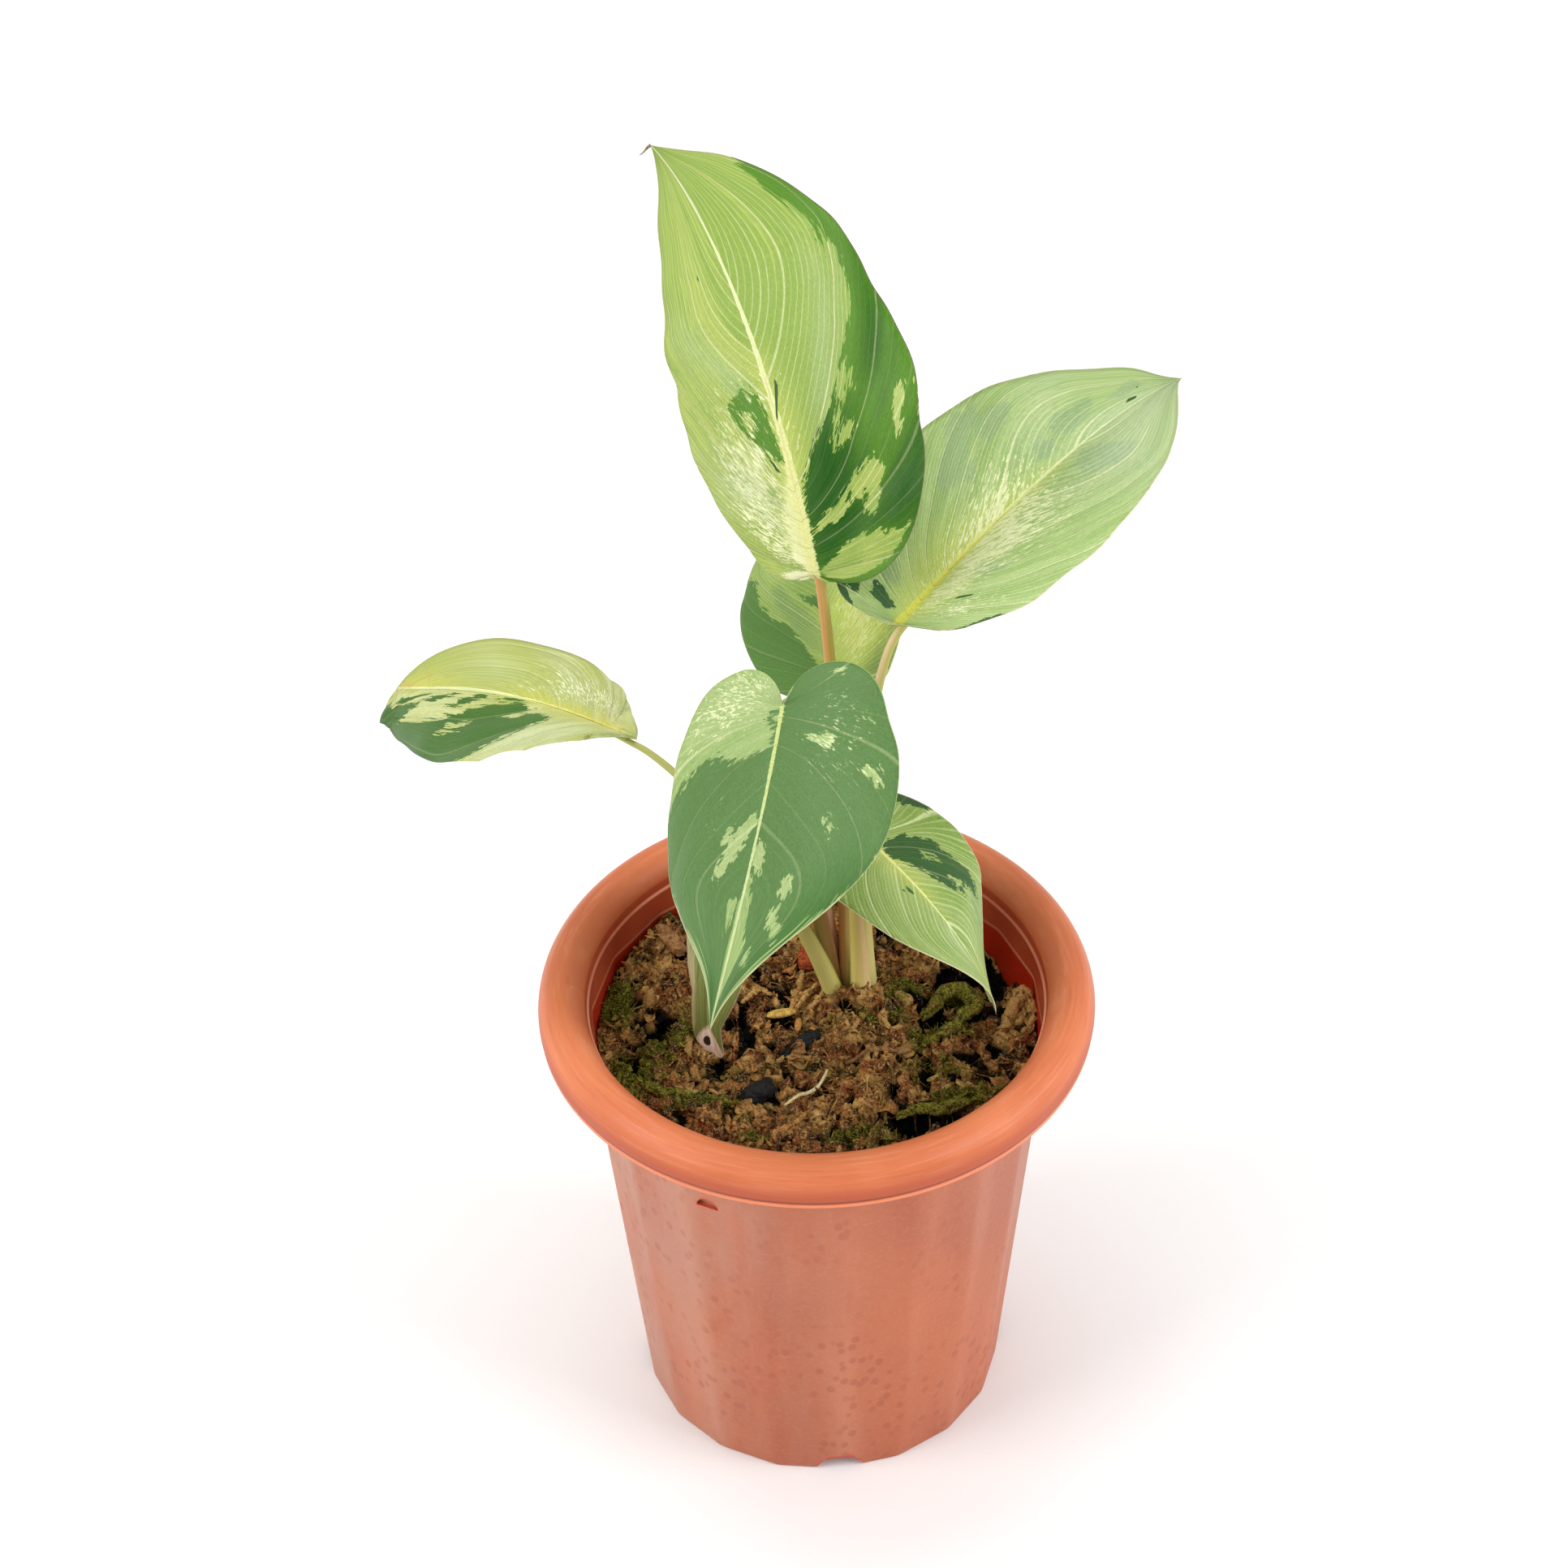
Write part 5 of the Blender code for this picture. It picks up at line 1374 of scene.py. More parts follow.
# %% [markdown]
# ## The potting mix
# The mix is brown sphagnum, bark fibre and charcoal, matted into lumps with green moss on it. A
# flat disc with a picture of soil would never hold up from the side. Here a fine height field
# follows the solid's relief and adds lumps and pits, and thousands of small low-poly crumbs,
# flakes and fibres lie on it. Each carries its own tone, so one finish serves them all.

# %% Ground height
SOIL_LEVEL, SOIL_GRID = 124.5, 250
MOSS = [                       # x, y, half width, half depth, strength
    (26, 17, 7, 6, 1.0), (38, 2, 9, 6, 0.9), (12, -39, 13, 4, 1.0), (-18, -39, 6, 2.5, 1.0),
    (-33, -24, 14, 4, 1.0), (42, -25, 14, 3, 1.0), (41, 17, 7, 6, 1.0), (-53, -13, 9, 10, 1.0),
    (-58, 14, 7, 10, 1.0), (-49, 47, 8, 8, 0.9), (15, 5, 4, 5, 0.7), (34, -14, 14, 9, 0.6),
    (-38, 2, 10, 12, 0.6), (-46, -4, 6, 6, 1.0), (24, 6, 5, 3, 0.8), (29, -1, 4, 4, 0.9)]
GOLD = [                       # the same for tan and orange clumps
    (6, 15.5, 4, 4, 1.0), (12, 14, 6, 5, 1.0), (17, 20, 4, 4, 0.9), (9, 4, 5, 6, 0.7), (23, -14, 5, 4, 0.9),
    (21, -29, 4, 3, 1.0), (12, -19, 7, 4, 0.8), (40, -7, 5, 4, 0.8), (1, -31, 3, 3, 0.8),
    (29, -23, 5, 3, 0.9), (60, 8, 5, 9, 0.9), (-14, 14, 7, 7, 0.7), (-20, -28, 6, 4, 0.7),
    (-32, 8, 7, 6, 0.6), (22, 2, 4, 3, 0.8)]
MOUNDS = [                     # x, y, half width, half depth, height
    (11, 13, 9, 6, 5.2), (12, 4, 8, 6, 3.8), (26, 15, 7, 6, 5.0), (20, -20, 15, 9, 3.4),
    (-14, 16, 8, 9, 3.2), (60, 8, 5, 9, 6.0), (-30, -32, 11, 5, 1.8), (-10, -24, 6, 5, 1.8),
    (38, -4, 9, 5, 2.8), (-30, 5, 8, 7, 2.4), (-5, -4, 3, 2, 1.6), (6, 5, 3, 2, 1.4),
    (5, 14, 3.5, 3, 3.0), (14, 14, 4, 3, 2.4)]
HOLLOWS = [                    # the same, downwards
    (30, -31, 11, 4.5, 12.0), (36, 15, 4, 3, 6.0), (38, 27, 5, 3, 5.0), (46, 12.5, 5, 4, 7.0),
    (-7, 8, 4.5, 2.6, 4.5), (-1, -10, 5, 1.8, 3.0), (19, -3, 2.5, 1.5, 3.0), (28, -7, 4, 2, 3.5),
    (48, -10, 4, 5, 4.0), (52, 27, 10, 10, 5.0), (-15, -23, 4, 3, 3.0), (-27, -8, 3, 5, 5.0),
    (-4, -18, 4, 3, 3.0), (-45, 4, 4, 6, 4.5), (4, -30, 5, 2, 2.5), (44, -17, 6, 3, 5.0),
    (-20, 2, 3, 4, 3.5), (-38, -14, 5, 3, 4.0), (-24, 24, 5, 5, 4.0)]


def soft_spots(x, y, spots):
    """One array for each spot: height * exp(-(dx / width)^2 - (dy / depth)^2)."""
    return np.stack([height * np.exp(-((x - at_x) / wide) ** 2 - ((y - at_y) / deep) ** 2)
                     for at_x, at_y, wide, deep, height in spots])


def spread(x, y, spots):
    """The strongest of some soft spots."""
    return soft_spots(x, y, spots).max(0)


def heaps(x, y, spots):
    """The sum of some soft spots."""
    return soft_spots(x, y, spots).sum(0)


def soil_relief(x, y):
    """Height of the solid's top: a level, a pile, a moss mound, a hollow and lumps."""
    def bell(at_x, at_y, width):
        return np.exp(-((x - at_x) ** 2 + (y - at_y) ** 2) / (2 * width ** 2))

    lumps = 0.9 * np.sin(x / 6.1 + 0.6) * np.sin(y / 5.3 + 1.1)
    near = bell(CROWN_X, CROWN_Y, 12)
    shape = 9.0 * bell(-40, 34, 20) + 3.0 * bell(26, 6, 11) - 5.0 * bell(33, -46, 7) + lumps
    return SOIL_LEVEL + (CROWN_TOP - 0.6 - SOIL_LEVEL) * near + shape * (1 - near)


def folds(x, y, size, seed):
    """Crumpled ridges: 1 - |2 n - 1| for noise n whose places are pushed about by slower noise."""
    push_x = bumps(x / size * 0.7 + 7, y / size * 0.7, seed + 50) - 0.5
    push_y = bumps(x / size * 0.7, y / size * 0.7 + 7, seed + 60) - 0.5
    n = bumps(x / size + 1.6 * push_x, y / size + 1.6 * push_y, seed)
    return 1 - np.abs(2 * n - 1)


def matted(x, y):
    """Clumps, crumpled folds of three sizes and deep gaps between the clumps, in mm."""
    clumps = 4.4 * (bumps(x / 8.0, y / 7.0, 1) - 0.5)
    crumple = 3.0 * folds(x, y, 4.6, 2) + 2.2 * folds(x, y, 2.3, 3) + 1.2 * folds(x, y, 1.15, 4) - 3.6
    gaps = 5.0 * smooth_step(0.42, 0.16, bumps(x / 4.4 + 31, y / 3.6, 9))
    return clumps + crumple - gaps


def ground(x, y):
    """Top of the mix in mm: the solid's relief, the mat, the heaps and the dark hollows."""
    calm = 1 - 0.6 * smooth_step(56, 64, np.hypot(x, y))
    calm *= 1 - 0.7 * smooth_step(9, 4, np.hypot(x - CROWN_X, y - CROWN_Y + 2))
    return soil_relief(x, y) + matted(x, y) * calm + heaps(x, y, MOUNDS) - heaps(x, y, HOLLOWS)


def clump_tone(x, y):
    """0 for dark peat to 1 for tan: noise a few millimetres wide, and the tan clumps."""
    return np.clip(1.25 * bumps(x / 5.5 + 3, y / 4.5 + 8, 33) - 0.12 + 0.55 * spread(x, y, GOLD), 0, 1)


# %% Mix finish
def mix_finish(name):
    """Brown peat and sphagnum; the mix field gives moss, height in the mat and a tone each, and the height
    paints low places near black as painted shade.
    """
    material, tree, shader = new_finish(name, 0.55, Specular_IOR_Level=0.26)
    spot = object_place(tree)
    moss, high, tone_number, _ = channels(tree, "mix")
    heap = grain(spot, 120.0, 2.0)
    rough = grain(spot, 420.0, 4.0, 0.65)
    fine = grain(spot, 1700.0, 3.0, 0.7)
    green = blend(ease(fine, 0.38, 0.64), (54, 62, 8), (174, 174, 52))
    tone = layers(blend(ease(rough, 0.38, 0.60), (112, 58, 22), (240, 164, 84)),
                  (heap, 0.50, 0.60, 0.85, (160, 74, 26)),               # rust
                  (heap, 0.45, 0.34, 0.65, (150, 132, 42)),              # olive
                  (tone_number, 0.55, 0.95, 0.85, (255, 200, 116)),      # tan clumps
                  (tone_number, 0.40, 0.08, 0.90, (44, 24, 10)),         # dark peat
                  (fine, 0.50, 0.66, 0.80, (255, 226, 160)),             # pale threads
                  (times_plus(calc("SUBTRACT", rough, 0.5), 1.8, moss), 0.35, 0.66, 0.92, green))
    # Painted shade: low places in the mat are blended towards near black.
    tone = blend(ease(high, 0.26, 0.60), (6, 4, 2), tone)
    feed(shader, Base_Color=tone, Roughness=ease(grain(spot, 260.0, 3.0), 0.42, 0.60, 0.26, 0.75))
    relief(shader, total(fine, rough), 0.0016)
    return material


# %% Mix body
def disc_grid(count, radius):
    """A square grid pressed into a disc: x = a sqrt(1 - b^2 / 2), y = b sqrt(1 - a^2 / 2)."""
    side = np.linspace(-1, 1, count)
    a, b = np.meshgrid(side, side, indexing="ij")
    return radius * a * np.sqrt(1 - b ** 2 / 2), radius * b * np.sqrt(1 - a ** 2 / 2)


def border(n):
    """Indices of a square grid's border, once round, counter-clockwise seen from above."""
    step = np.arange(n - 1)
    return np.concatenate([step * n, (n - 1) * n + step, (n - 1 - step) * n + n - 1, n - 1 - step])


def build_mix():
    """Height field on a disc, a skirt down the pot's wall and a flat bottom."""
    inner = WALL + GAP
    radius = wall_radius(SOIL_LEVEL) - inner
    x, y = disc_grid(SOIL_GRID, radius)
    loop = border(SOIL_GRID)
    flat = side_by_side(x, y, ground(x, y)).reshape(-1, 3)
    angle = np.arctan2(flat[:, 1], flat[:, 0])
    limit = (wall_radius(flat[:, 2]) - inner) / radius
    at_wall = smooth_step(0.9, 1.0, np.hypot(flat[:, 0], flat[:, 1]) / radius)
    flat[:, :2] *= (1 + (limit * panel_factor(angle) - 1) * at_wall)[:, None]
    bottom = FLOOR_RISE + WALL + GAP
    low_radius = (wall_radius(bottom) - inner) * panel_factor(angle[loop])
    skirt = side_by_side(low_radius * np.cos(angle[loop]), low_radius * np.sin(angle[loop]), bottom)
    new = len(flat) + np.arange(len(loop))
    sides = np.stack([loop, new, np.roll(new, -1), np.roll(loop, -1)], 1)
    quads = grid_faces(SOIL_GRID, SOIL_GRID)[:, ::-1]
    # Height in the mat, which the finish turns into painted shade in the low places; the skirt gets a middle
    # value.
    high = smooth_step(-5.0, 2.2, matted(x, y) - 0.8 * heaps(x, y, HOLLOWS))
    mix = side_by_side(spread(x, y, MOSS), high, clump_tone(x, y), 1).reshape(-1, 4)
    mix = np.vstack([mix, np.tile([0.0, 0.4, 0.2, 1.0], (len(loop), 1))])
    obj = make_piece("potting_mix", np.vstack([flat, skirt]), [quads, sides, new[::-1][None]],
                     fields={"mix": mix})
    place(obj, mix_finish("peat_and_sphagnum"), "soil", "soil")


build_mix()


# %% Scattered pieces
MIX_RADIUS, CROWN_CLEAR = 63.0, 6.0


def scatter(count, seed, radius=MIX_RADIUS):
    """Random places on the mix, clear of the crown."""
    rng = np.random.default_rng(seed)
    r = radius * np.sqrt(rng.random(count))
    a = rng.random(count) * 2 * np.pi
    x, y = r * np.cos(a), r * np.sin(a)
    keep = np.hypot(x - CROWN_X, y - CROWN_Y) > CROWN_CLEAR
    return x[keep], y[keep], rng


def turned_frames(count, rng, tilt):
    """Random frames: turned about Z, then tipped; N x 3 x 3, rows are length, width, height."""
    a = rng.random(count) * 2 * np.pi
    tip, lean = rng.normal(0, tilt, count), rng.normal(0, tilt, count)
    length = side_by_side(np.cos(a) * np.cos(tip), np.sin(a) * np.cos(tip), np.sin(tip))
    width = side_by_side(-np.sin(a), np.cos(a), lean)
    width = unit(width - (width * length).sum(-1, keepdims=True) * length)
    return np.stack([length, width, np.cross(length, width)], 1)


def lay_pieces(name, finish, points, faces, x, y, z, tone_number, smooth=True):
    """Many small pieces as one mesh; each has one moss, height and tone, taken at its x, y, z."""
    # Height over the mat: the finish paints low pieces darker as painted shade.
    high = smooth_step(-4.2, 2.6, z - soil_relief(x, y) - heaps(x, y, MOUNDS))
    tone_number = 0.5 * tone_number + 0.5 * clump_tone(x, y)
    mix = side_by_side(spread(x, y, MOSS), np.maximum(high, 0.12), tone_number, 1)
    shape = points.shape[:-1]
    mix = np.broadcast_to(mix.reshape(len(x), *[1] * (len(shape) - 1), 4), (*shape, 4))
    obj = make_piece(name, points, faces, merge=False, smooth=smooth, fields={"mix": mix})
    place(obj, mix_finish(finish), "soil")


# %% Flakes and crumbs
def build_flakes():
    """Curled flakes: six cross rings of four corners each, bent on an arc and twisted."""
    x, y, rng = scatter(2700, 11, 62.5)
    n = len(x)
    size = np.exp(rng.normal(0, 0.35, n))[:, None]
    length, width = 4.0 * size, (1.0 + 1.3 * rng.random((n, 1))) * size
    bend, twist = rng.normal(0, 1.2, (n, 1)), rng.normal(0, 0.6, (n, 1))
    bend = np.where(np.abs(bend) < 0.1, 0.1, bend)
    s = np.linspace(-1, 1, 6)[None, :]
    along = (length / 2 * np.sin(bend * s) / bend)[..., None]
    lift = (length / 2 * (1 - np.cos(bend * s)) / bend)[..., None]
    half = width / 2 * (1 - 0.7 * s ** 4) * (0.7 + 0.6 * rng.random((n, 6)))
    wide = half[..., None] * np.array([-1, 1, 1, -1])
    deep = (0.10 + 0.08 * rng.random((n, 1)))[..., None] * np.array([-1, -1, 1, 1])
    c, d = np.cos(twist * s)[..., None], np.sin(twist * s)[..., None]
    local = side_by_side(along, c * wide - d * deep, lift + d * wide + c * deep)
    z = ground(x, y) + 0.1 + 0.9 * rng.random(n)
    points = np.einsum("nkcj,nji->nkci", local, turned_frames(n, rng, 0.55))
    points += side_by_side(x, y, z)[:, None, None]
    lay_pieces("flakes", "flake_brown", points, tube_faces(n, 6, 4), x, y, z, rng.random(n))


def build_crumbs():
    """Small uneven octahedra: six corners each, pushed in and out."""
    x, y, rng = scatter(3600, 14)
    n = len(x)
    axes = np.concatenate([np.eye(3), -np.eye(3)])[None]
    size = 0.75 * np.exp(rng.normal(0, 0.35, (n, 1, 1)))
    local = axes * size * (0.5 + 0.8 * rng.random((n, 6, 1)))
    z = ground(x, y) + 0.2 * rng.random(n)
    points = np.einsum("ncj,nji->nci", local, turned_frames(n, rng, 0.8)) + side_by_side(x, y, z)[:, None]
    upper = np.array([(0, 1, 2), (1, 3, 2), (3, 4, 2), (4, 0, 2)])
    lower = np.array([(1, 0, 5), (3, 1, 5), (4, 3, 5), (0, 4, 5)])
    faces = (np.vstack([upper, lower])[None] + 6 * np.arange(n)[:, None, None]).reshape(-1, 3)
    lay_pieces("crumbs", "crumb_brown", points, [faces], x, y, z, rng.random(n), smooth=False)


# %% Moss leaflets and fibres
def build_moss():
    """Leaflets of moss: short three-sided blades that stand up where the moss grows."""
    x, y, rng = scatter(30000, 15)
    chosen = np.flatnonzero(spread(x, y, MOSS) > 0.30 + 0.75 * rng.random(len(x)))[:4200]
    x, y = x[chosen], y[chosen]
    n = len(x)
    lean = rng.normal(0, 0.7, (n, 1, 2))
    length = (0.9 + 1.2 * rng.random(n))[:, None, None]
    s = np.linspace(0, 1, 3)[None, :, None]
    rise = np.concatenate([lean * s ** 1.4, s + 0 * lean[..., :1]], -1) * length
    z = ground(x, y) - 0.2
    paths = side_by_side(x, y, z)[:, None] + rise
    radii = (0.16 + 0.14 * rng.random((n, 1))) * np.array([[0.8, 1.0, 0.25]])
    lay_pieces("moss_leaflets", "moss_green", tube_rings(paths, radii, 3), tube_faces(n, 3, 3),
               x, y, z + 1.5, 0.25 + 0.3 * rng.random(n), smooth=False)


def build_fibres():
    """Curled strands of moss and root: thin three-sided tubes that lie over the mat."""
    x, y, rng = scatter(1100, 12, 62.5)
    n, knots = len(x), 8
    turn = rng.random(n)[:, None] * 2 * np.pi
    bend = rng.normal(0, 1.3, n)[:, None]
    step = (4.0 + 7.0 * rng.random(n))[:, None] / (knots - 1)
    s = np.linspace(0, 1, knots)[None]
    heading = turn + bend * s * 1.6 + 0.5 * np.sin(7 * s + turn)
    px = x[:, None] + np.cumsum(np.cos(heading) * step, 1)
    py = y[:, None] + np.cumsum(np.sin(heading) * step, 1)
    shrink = np.minimum(1.0, MIX_RADIUS / np.hypot(px, py))
    px, py = px * shrink, py * shrink
    lift = 0.4 + 1.2 * np.sin(np.pi * s) * rng.random(n)[:, None]
    pz = ground(px, py)
    smooth_z = (pz + np.roll(pz, 1, 1) + np.roll(pz, -1, 1)) / 3
    smooth_z[:, 0], smooth_z[:, -1] = pz[:, 0], pz[:, -1]
    thick = (0.12 + 0.20 * rng.random(n))[:, None] * (1 - 0.6 * s ** 2)
    rings = tube_rings(side_by_side(px, py, smooth_z + lift), thick, 3)
    lay_pieces("fibres", "fibre_brown", rings, tube_faces(n, knots, 3), x, y, pz.max(1) + 1, rng.random(n))


build_flakes()
build_crumbs()
build_moss()
build_fibres()

# %% Thick strands
ARCHES = {                     # points x, y and height over the mat in mm, radius, moss, tone
    "moss_arch": (((30.0, 7.5, -1.0), (33.5, 10.0, 1.0), (38.5, 17.0, 3.4), (44.0, 16.0, 4.4),
                   (46.0, 10.0, 3.4), (42.0, 5.5, 2.6), (39.5, 0.5, 1.6), (34.0, -2.0, 0.4),
                   (30.0, -5.0, -1.0)), 2.0, 0.70, 0.45),
    "curled_strand": (((25.0, 7.4, -0.4), (22.6, 8.6, 1.0), (19.6, 6.8, 1.6), (19.2, 3.6, 1.3),
                       (21.6, 1.8, 1.4), (24.6, 3.2, 1.2), (24.8, 5.6, 0.4)), 0.9, 0.1, 0.85),
    "wall_strand": (((53.5, 2.0, -0.6), (56.5, 7.0, 1.2), (60.0, 11.5, 2.6), (62.2, 8.0, 1.4),
                     (61.5, 2.0, -0.8)), 1.6, 0.1, 0.8),
    "moss_strip": (((22.0, -30.0, -1.0), (28.0, -28.4, 0.6), (35.0, -29.0, 1.2), (42.0, -27.8, 1.4),
                    (48.0, -24.6, 1.2), (55.0, -19.0, 0.2)), 1.5, 1.0, 0.5),
    "moss_rope": (((-55.0, -13.0, 0.6), (-46.0, -20.0, 1.4), (-34.5, -22.8, 1.4), (-24.0, -25.6, 0.4)),
                  1.3, 1.0, 0.5),
    "splinter_1": (((-5.9, 11.5, 1.5), (-2.4, 17.0, 2.6), (0.6, 21.5, 2.2)), 0.70, 0.0, 1.0),
    "splinter_2": (((-1.6, 10.8, 2.2), (0.5, 13.0, 2.8), (2.5, 15.2, 2.4)), 0.60, 0.0, 1.0),
    "splinter_3": (((-4.9, 18.1, 1.6), (-4.5, 22.0, 2.4), (-3.9, 26.0, 2.0)), 0.80, 0.0, 0.8),
    "splinter_4": (((-12.0, -8.2, 0.4), (-7.0, -7.2, 1.6), (2.0, -8.4, 1.0)), 0.80, 0.0, 0.9),
    "splinter_5": (((-22.0, 12.0, 1.0), (-17.0, 14.5, 2.2), (-13.0, 14.0, 1.2)), 0.70, 0.0, 0.95),
    "splinter_6": (((-33.0, 14.0, 1.0), (-30.0, 19.0, 2.6), (-29.0, 23.0, 2.0)), 0.80, 0.0, 0.9),
}
ARCH_KNOTS, ARCH_SIDES = 60, 14


def through(points, s):
    """A smooth line through points: each coordinate follows the cubic blend of its neighbours."""
    points = np.asarray(points, float)
    at = s * (len(points) - 1)
    i = np.minimum(at.astype(int), len(points) - 2)
    f = (at - i)[:, None]
    padded = np.vstack([2 * points[0] - points[1], points, 2 * points[-1] - points[-2]])
    a, b, c, d = (padded[i + k] for k in range(4))
    return b + 0.5 * f * (c - a + f * (2 * a - 5 * b + 4 * c - d + f * (3 * (b - c) + d - a)))


def build_arch(name, points, radius, moss, tone_number):
    """A thick crumpled strand that stands clear of the mat in the middle."""
    s = np.linspace(0, 1, ARCH_KNOTS)
    path = through(points, s)
    path[:, 2] += soil_relief(path[:, 0], path[:, 1]) + heaps(path[:, 0], path[:, 1], MOUNDS)
    a = np.linspace(0, 2 * np.pi, ARCH_SIDES, endpoint=False)
    rough = 1 + 1.1 * (bumps(s[:, None] * 26, a[None] * 1.9 + 3, 70) - 0.5)
    radii = radius * (0.5 + 0.5 * np.sin(np.pi * s) ** 0.5) * (0.7 + 0.6 * bumps(s * 9, 0 * s, 71))
    rings = tube_rings(path[None], radii[None], ARCH_SIDES)[0]
    rings = path[:, None] + (rings - path[:, None]) * rough[..., None]
    # Dented places get a lower height value, which the finish paints darker: painted shade in the dents.
    mix = side_by_side(moss, 0.9 - 0.5 * (rough < 0.85), tone_number, 1)
    obj = make_piece(name, rings, tube_faces(1, ARCH_KNOTS, ARCH_SIDES), fields={"mix": mix})
    place(obj, mix_finish(name + "_fibre"), "soil")


for name, arch in ARCHES.items():
    build_arch(name, *arch)

# %% [markdown]
# ## Crown and loose bits
# The petioles leave a short crown wrapped in old brown sheaths and moss. The loose bits that stand
# out on the mix, two pieces of charcoal, bark chips, rice hulls, a white root and a twig, each
# replace their solid with a rougher, closed form.

# %% Crown
CROWN_TURNS = 90


def build_crown():
    """A low rough cone round the petioles' feet, down to a blunt root end."""
    below_top = [(0.0, -40), (3.2, -40), (6.2, -32), (8.0, -20), (9.0, -9), (9.05, -2), (8.4, 0.0),
                 (6.5, 1.1), (3.0, 1.6), (0.0, 1.8)]
    profile = fill_in(np.array(below_top) + np.array([0.0, CROWN_TOP]), 0.7)
    points, a = turned_points(profile, CROWN_TURNS)
    rough = bumps(a * 7 + 20, points[..., 2] * 1.3, 21) - 0.5
    near_top = smooth_step(CROWN_TOP - 6, CROWN_TOP, points[..., 2])
    from_axis = smooth_step(0, 2, np.hypot(points[..., 0], points[..., 1]))
    points[..., :2] *= (1 + 0.10 * rough * from_axis)[..., None]
    points[..., 2] += 1.6 * near_top * (bumps(points[..., 0] / 1.3, points[..., 1] / 1.3, 22) - 0.5)
    points += np.array([CROWN_X, CROWN_Y, 0])
    obj = make_piece("crown_sheath", points, [grid_faces(len(profile), CROWN_TURNS, round_columns=True)],
                     fields={"mix": side_by_side(0.2 + 0 * rough, 0.8, 0.8, 1)})
    place(obj, mix_finish("old_sheath"), "crown", "crown")


build_crown()

# %% Loose bits
BITS = {                       # size in mm, turn in degrees, two tones, squareness, roughness, sunk by mm
    "charcoal_1": ((17, 4, 4), 40, ((6, 7, 7), (34, 36, 36)), 5.0, 0.26, 2.4),
    "charcoal_2": ((9, 5, 5), 30, ((6, 6, 8), (34, 34, 36)), 5.0, 0.30, 2.4),
    "bark_chip_1": ((9, 7, 4), 80, ((116, 40, 12), (190, 86, 36)), 3.0, 0.12, 0.0),
    "bark_chip_2": ((13, 4, 3), 118, ((110, 72, 38), (176, 128, 80)), 3.0, 0.12, 0.0),
    "rice_hull_1": ((10, 3.4, 2.2), 12, ((176, 138, 58), (232, 194, 104)), 2.0, 0.03, -0.6),
    "rice_hull_2": ((6, 2.4, 1.8), 85, ((156, 104, 44), (210, 154, 82)), 2.0, 0.03, -1.2),
}
SHRINK = 0.94                  # keeps the rough surface inside the solid's box
BIT_ROWS, BIT_COLUMNS = 22, 28


def bit_finish(name, tones):
    """Two tones drawn out along the grain, with fine cracks."""
    material, tree, shader = new_finish(name + "_skin", 0.75, Specular_IOR_Level=0.35)
    length = channels(tree, "along_bit")[0]
    strip = grain(stretched(object_place(tree), (700.0, 700.0, 900.0)), 1.0, 4.0, 0.65, 0.6)
    tone = layers(blend(ease(strip, 0.35, 0.65), *tones), (length, 0.75, 1.0, 0.5, tones[0]))
    feed(shader, Base_Color=tone)
    relief(shader, strip, 0.0005)
    return material


def build_bit(name, size, turn, tones, square, rough, sink):
    """A super-ellipsoid: |x|^p + |y|^p + |z|^p = 1, pushed in and out by sines, in its solid's box."""
    lowest, highest = (np.array(corner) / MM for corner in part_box(name))
    lat = np.linspace(-np.pi / 2, np.pi / 2, BIT_ROWS)[:, None]
    lon = np.linspace(0, 2 * np.pi, BIT_COLUMNS, endpoint=False)[None]
    ball = side_by_side(np.cos(lat) * np.cos(lon), np.cos(lat) * np.sin(lon), np.sin(lat))
    ball /= (np.abs(ball) ** square).sum(-1, keepdims=True) ** (1 / square)
    x, y, z = ball[..., 0], ball[..., 1], ball[..., 2]
    dent = np.sin(5 * x + 3 * y + 1.3) * np.sin(6 * y - 4 * z) + 0.5 * np.sin(11 * z + 9 * x)
    dent = dent - 0.6 * np.abs(np.sin(9 * y + 5 * z + 2 * x)) + 0.3
    local = ball * (1 + rough * dent[..., None] * 0.7) * np.array(size) / 2
    c, s = math.cos(math.radians(turn)), math.sin(math.radians(turn))
    turned = side_by_side(local[..., 0] * c - local[..., 1] * s, local[..., 0] * s + local[..., 1] * c,
                          local[..., 2])
    low, high = turned.min((0, 1)), turned.max((0, 1))
    points = (turned - low) / (high - low) * (highest - lowest) + lowest
    middle = (lowest + highest) / 2
    points = middle + (points - middle) * SHRINK - np.array([0, 0, sink])
    field = side_by_side(np.abs(x), np.abs(y), np.abs(z), 1)
    obj = make_piece(name + "_form", points, [grid_faces(BIT_ROWS, BIT_COLUMNS, round_columns=True)],
                     fields={"along_bit": field})
    slot = "hull" if "hull" in name else name.split("_")[0]
    place(obj, bit_finish(name, tones), slot, name)


for name, bit in BITS.items():
    build_bit(name, *bit)

# %% Root and twig
STRANDS = {                    # points x and y in mm, radius, two tones
    "white_root": (((-9.8, -28.8), (-4.4, -25.0), (0.8, -18.6), (2.6, -13.4)), 0.56,
                   ((206, 186, 130), (244, 232, 190))),
    "twig": (((8, -9.5), (13, -7.5), (20, -8.5), (27, -6)), 0.85, ((110, 76, 42), (172, 128, 78))),
}
STRAND_KNOTS, STRAND_SIDES = 40, 10


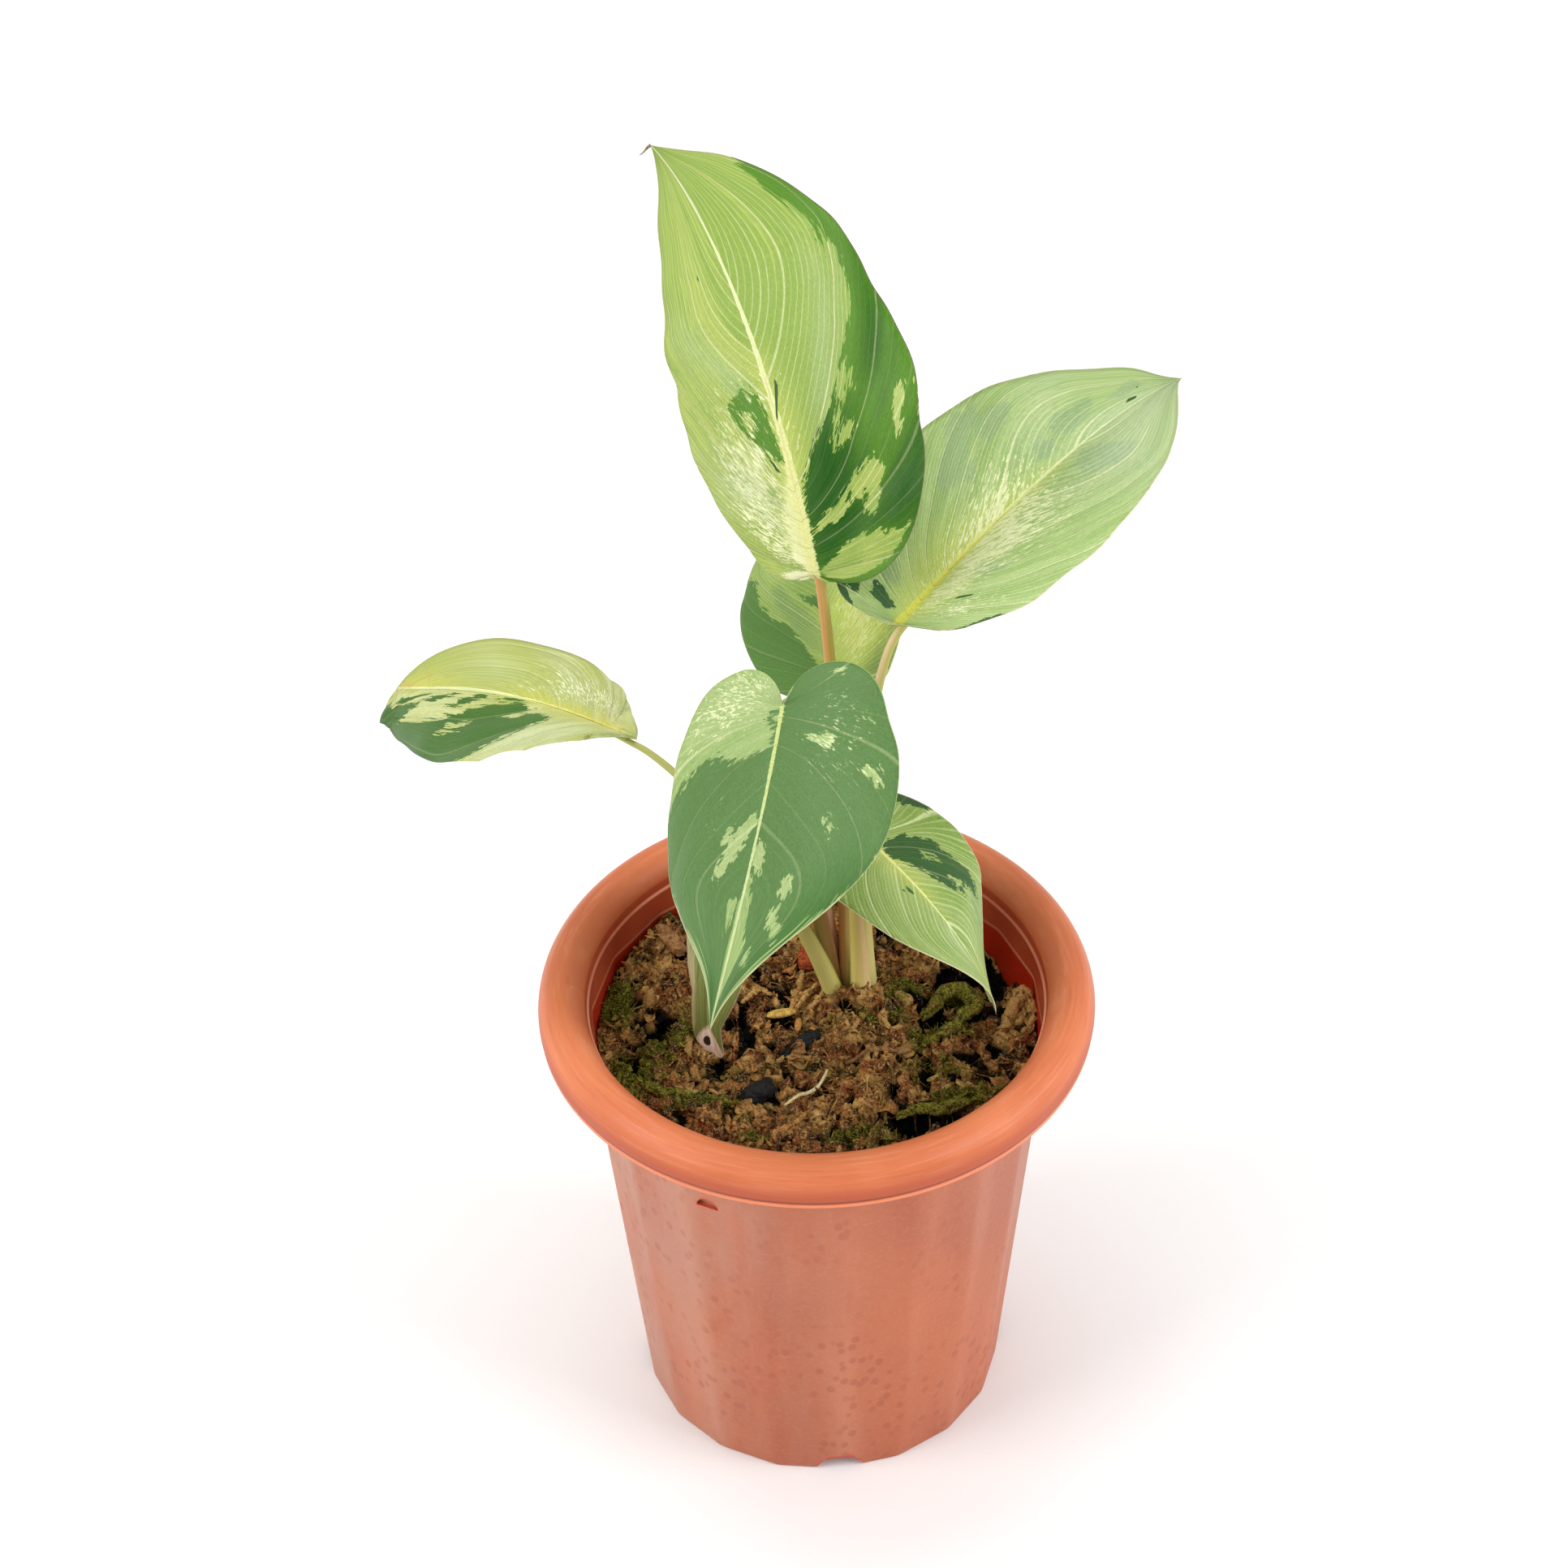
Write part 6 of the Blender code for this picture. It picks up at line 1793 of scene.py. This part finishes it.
def make_strand(name, path, radii, shares):
    """A closed tube along a path; its field holds a share for each ring."""
    rings = tube_rings(path[None], radii[None], STRAND_SIDES)[0]
    share = np.repeat(shares[:, None], STRAND_SIDES, 1)
    return make_piece(name, rings, tube_faces(1, len(path), STRAND_SIDES),
                      fields={"along_bit": side_by_side(share, share, share, 1)})


def build_strand(name, points, radius, tones):
    """A tube on a Bezier line over the mix, between the heights of its solid."""
    lowest, highest = (np.array(corner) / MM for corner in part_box(name))
    s = np.linspace(0, 1, STRAND_KNOTS)
    line = bezier(points, s)
    z = np.interp(s, [0, 0.5, 1], [lowest[2] + 1.0, (lowest[2] + highest[2]) / 2 + 0.2, highest[2] - 1.0])
    over = ground(line[:, 0], line[:, 1]) + 1.3
    over = np.lib.stride_tricks.sliding_window_view(np.pad(over, 9, mode="edge"), 7).max(-1)
    z = np.maximum(z, np.convolve(over, np.ones(13) / 13, "valid"))
    wiggle = 0.12 * np.sin(7 * s + 1)
    path = side_by_side(line[:, 0] + wiggle, line[:, 1] - wiggle, z)
    radii = radius * (0.6 + 0.4 * np.sin(np.pi * s) + 0.08 * np.sin(23 * s))
    place(make_strand(name + "_form", path, radii, 0.7 * s), bit_finish(name, tones), "root", name)


for name, strand in STRANDS.items():
    build_strand(name, *strand)

# %% Dry tip
TIP_HOOK = ((0.3, -0.9, 0.2), (-1.1, -0.8, -0.7), (-1.2, -0.9, -2.0), (-2.9, -1.0, -3.0))   # mm from the tip
TIP_TONES = ((96, 78, 62), (168, 146, 118))


def build_dry_tip():
    """The tall leaf ends in a thin dry hook."""
    u = np.ones((1, 1))
    tip = blade_surface(LEAVES["leaf_1"], blade_flat("leaf_1", u, 0 * u))[0][0, 0]
    s = np.linspace(0, 1, 16)
    hook = make_strand("dry_tip", tip + bezier(TIP_HOOK, s), 0.50 - 0.36 * s, 0.9 * s)
    place(hook, bit_finish("dry_tip", TIP_TONES), "leaf_1_blade")


build_dry_tip()

# %% [markdown]
# Last, the view layer is brought up to date. The dressed plant must not be larger than the
# solid model.

# %% Finish
bpy.context.view_layer.update()
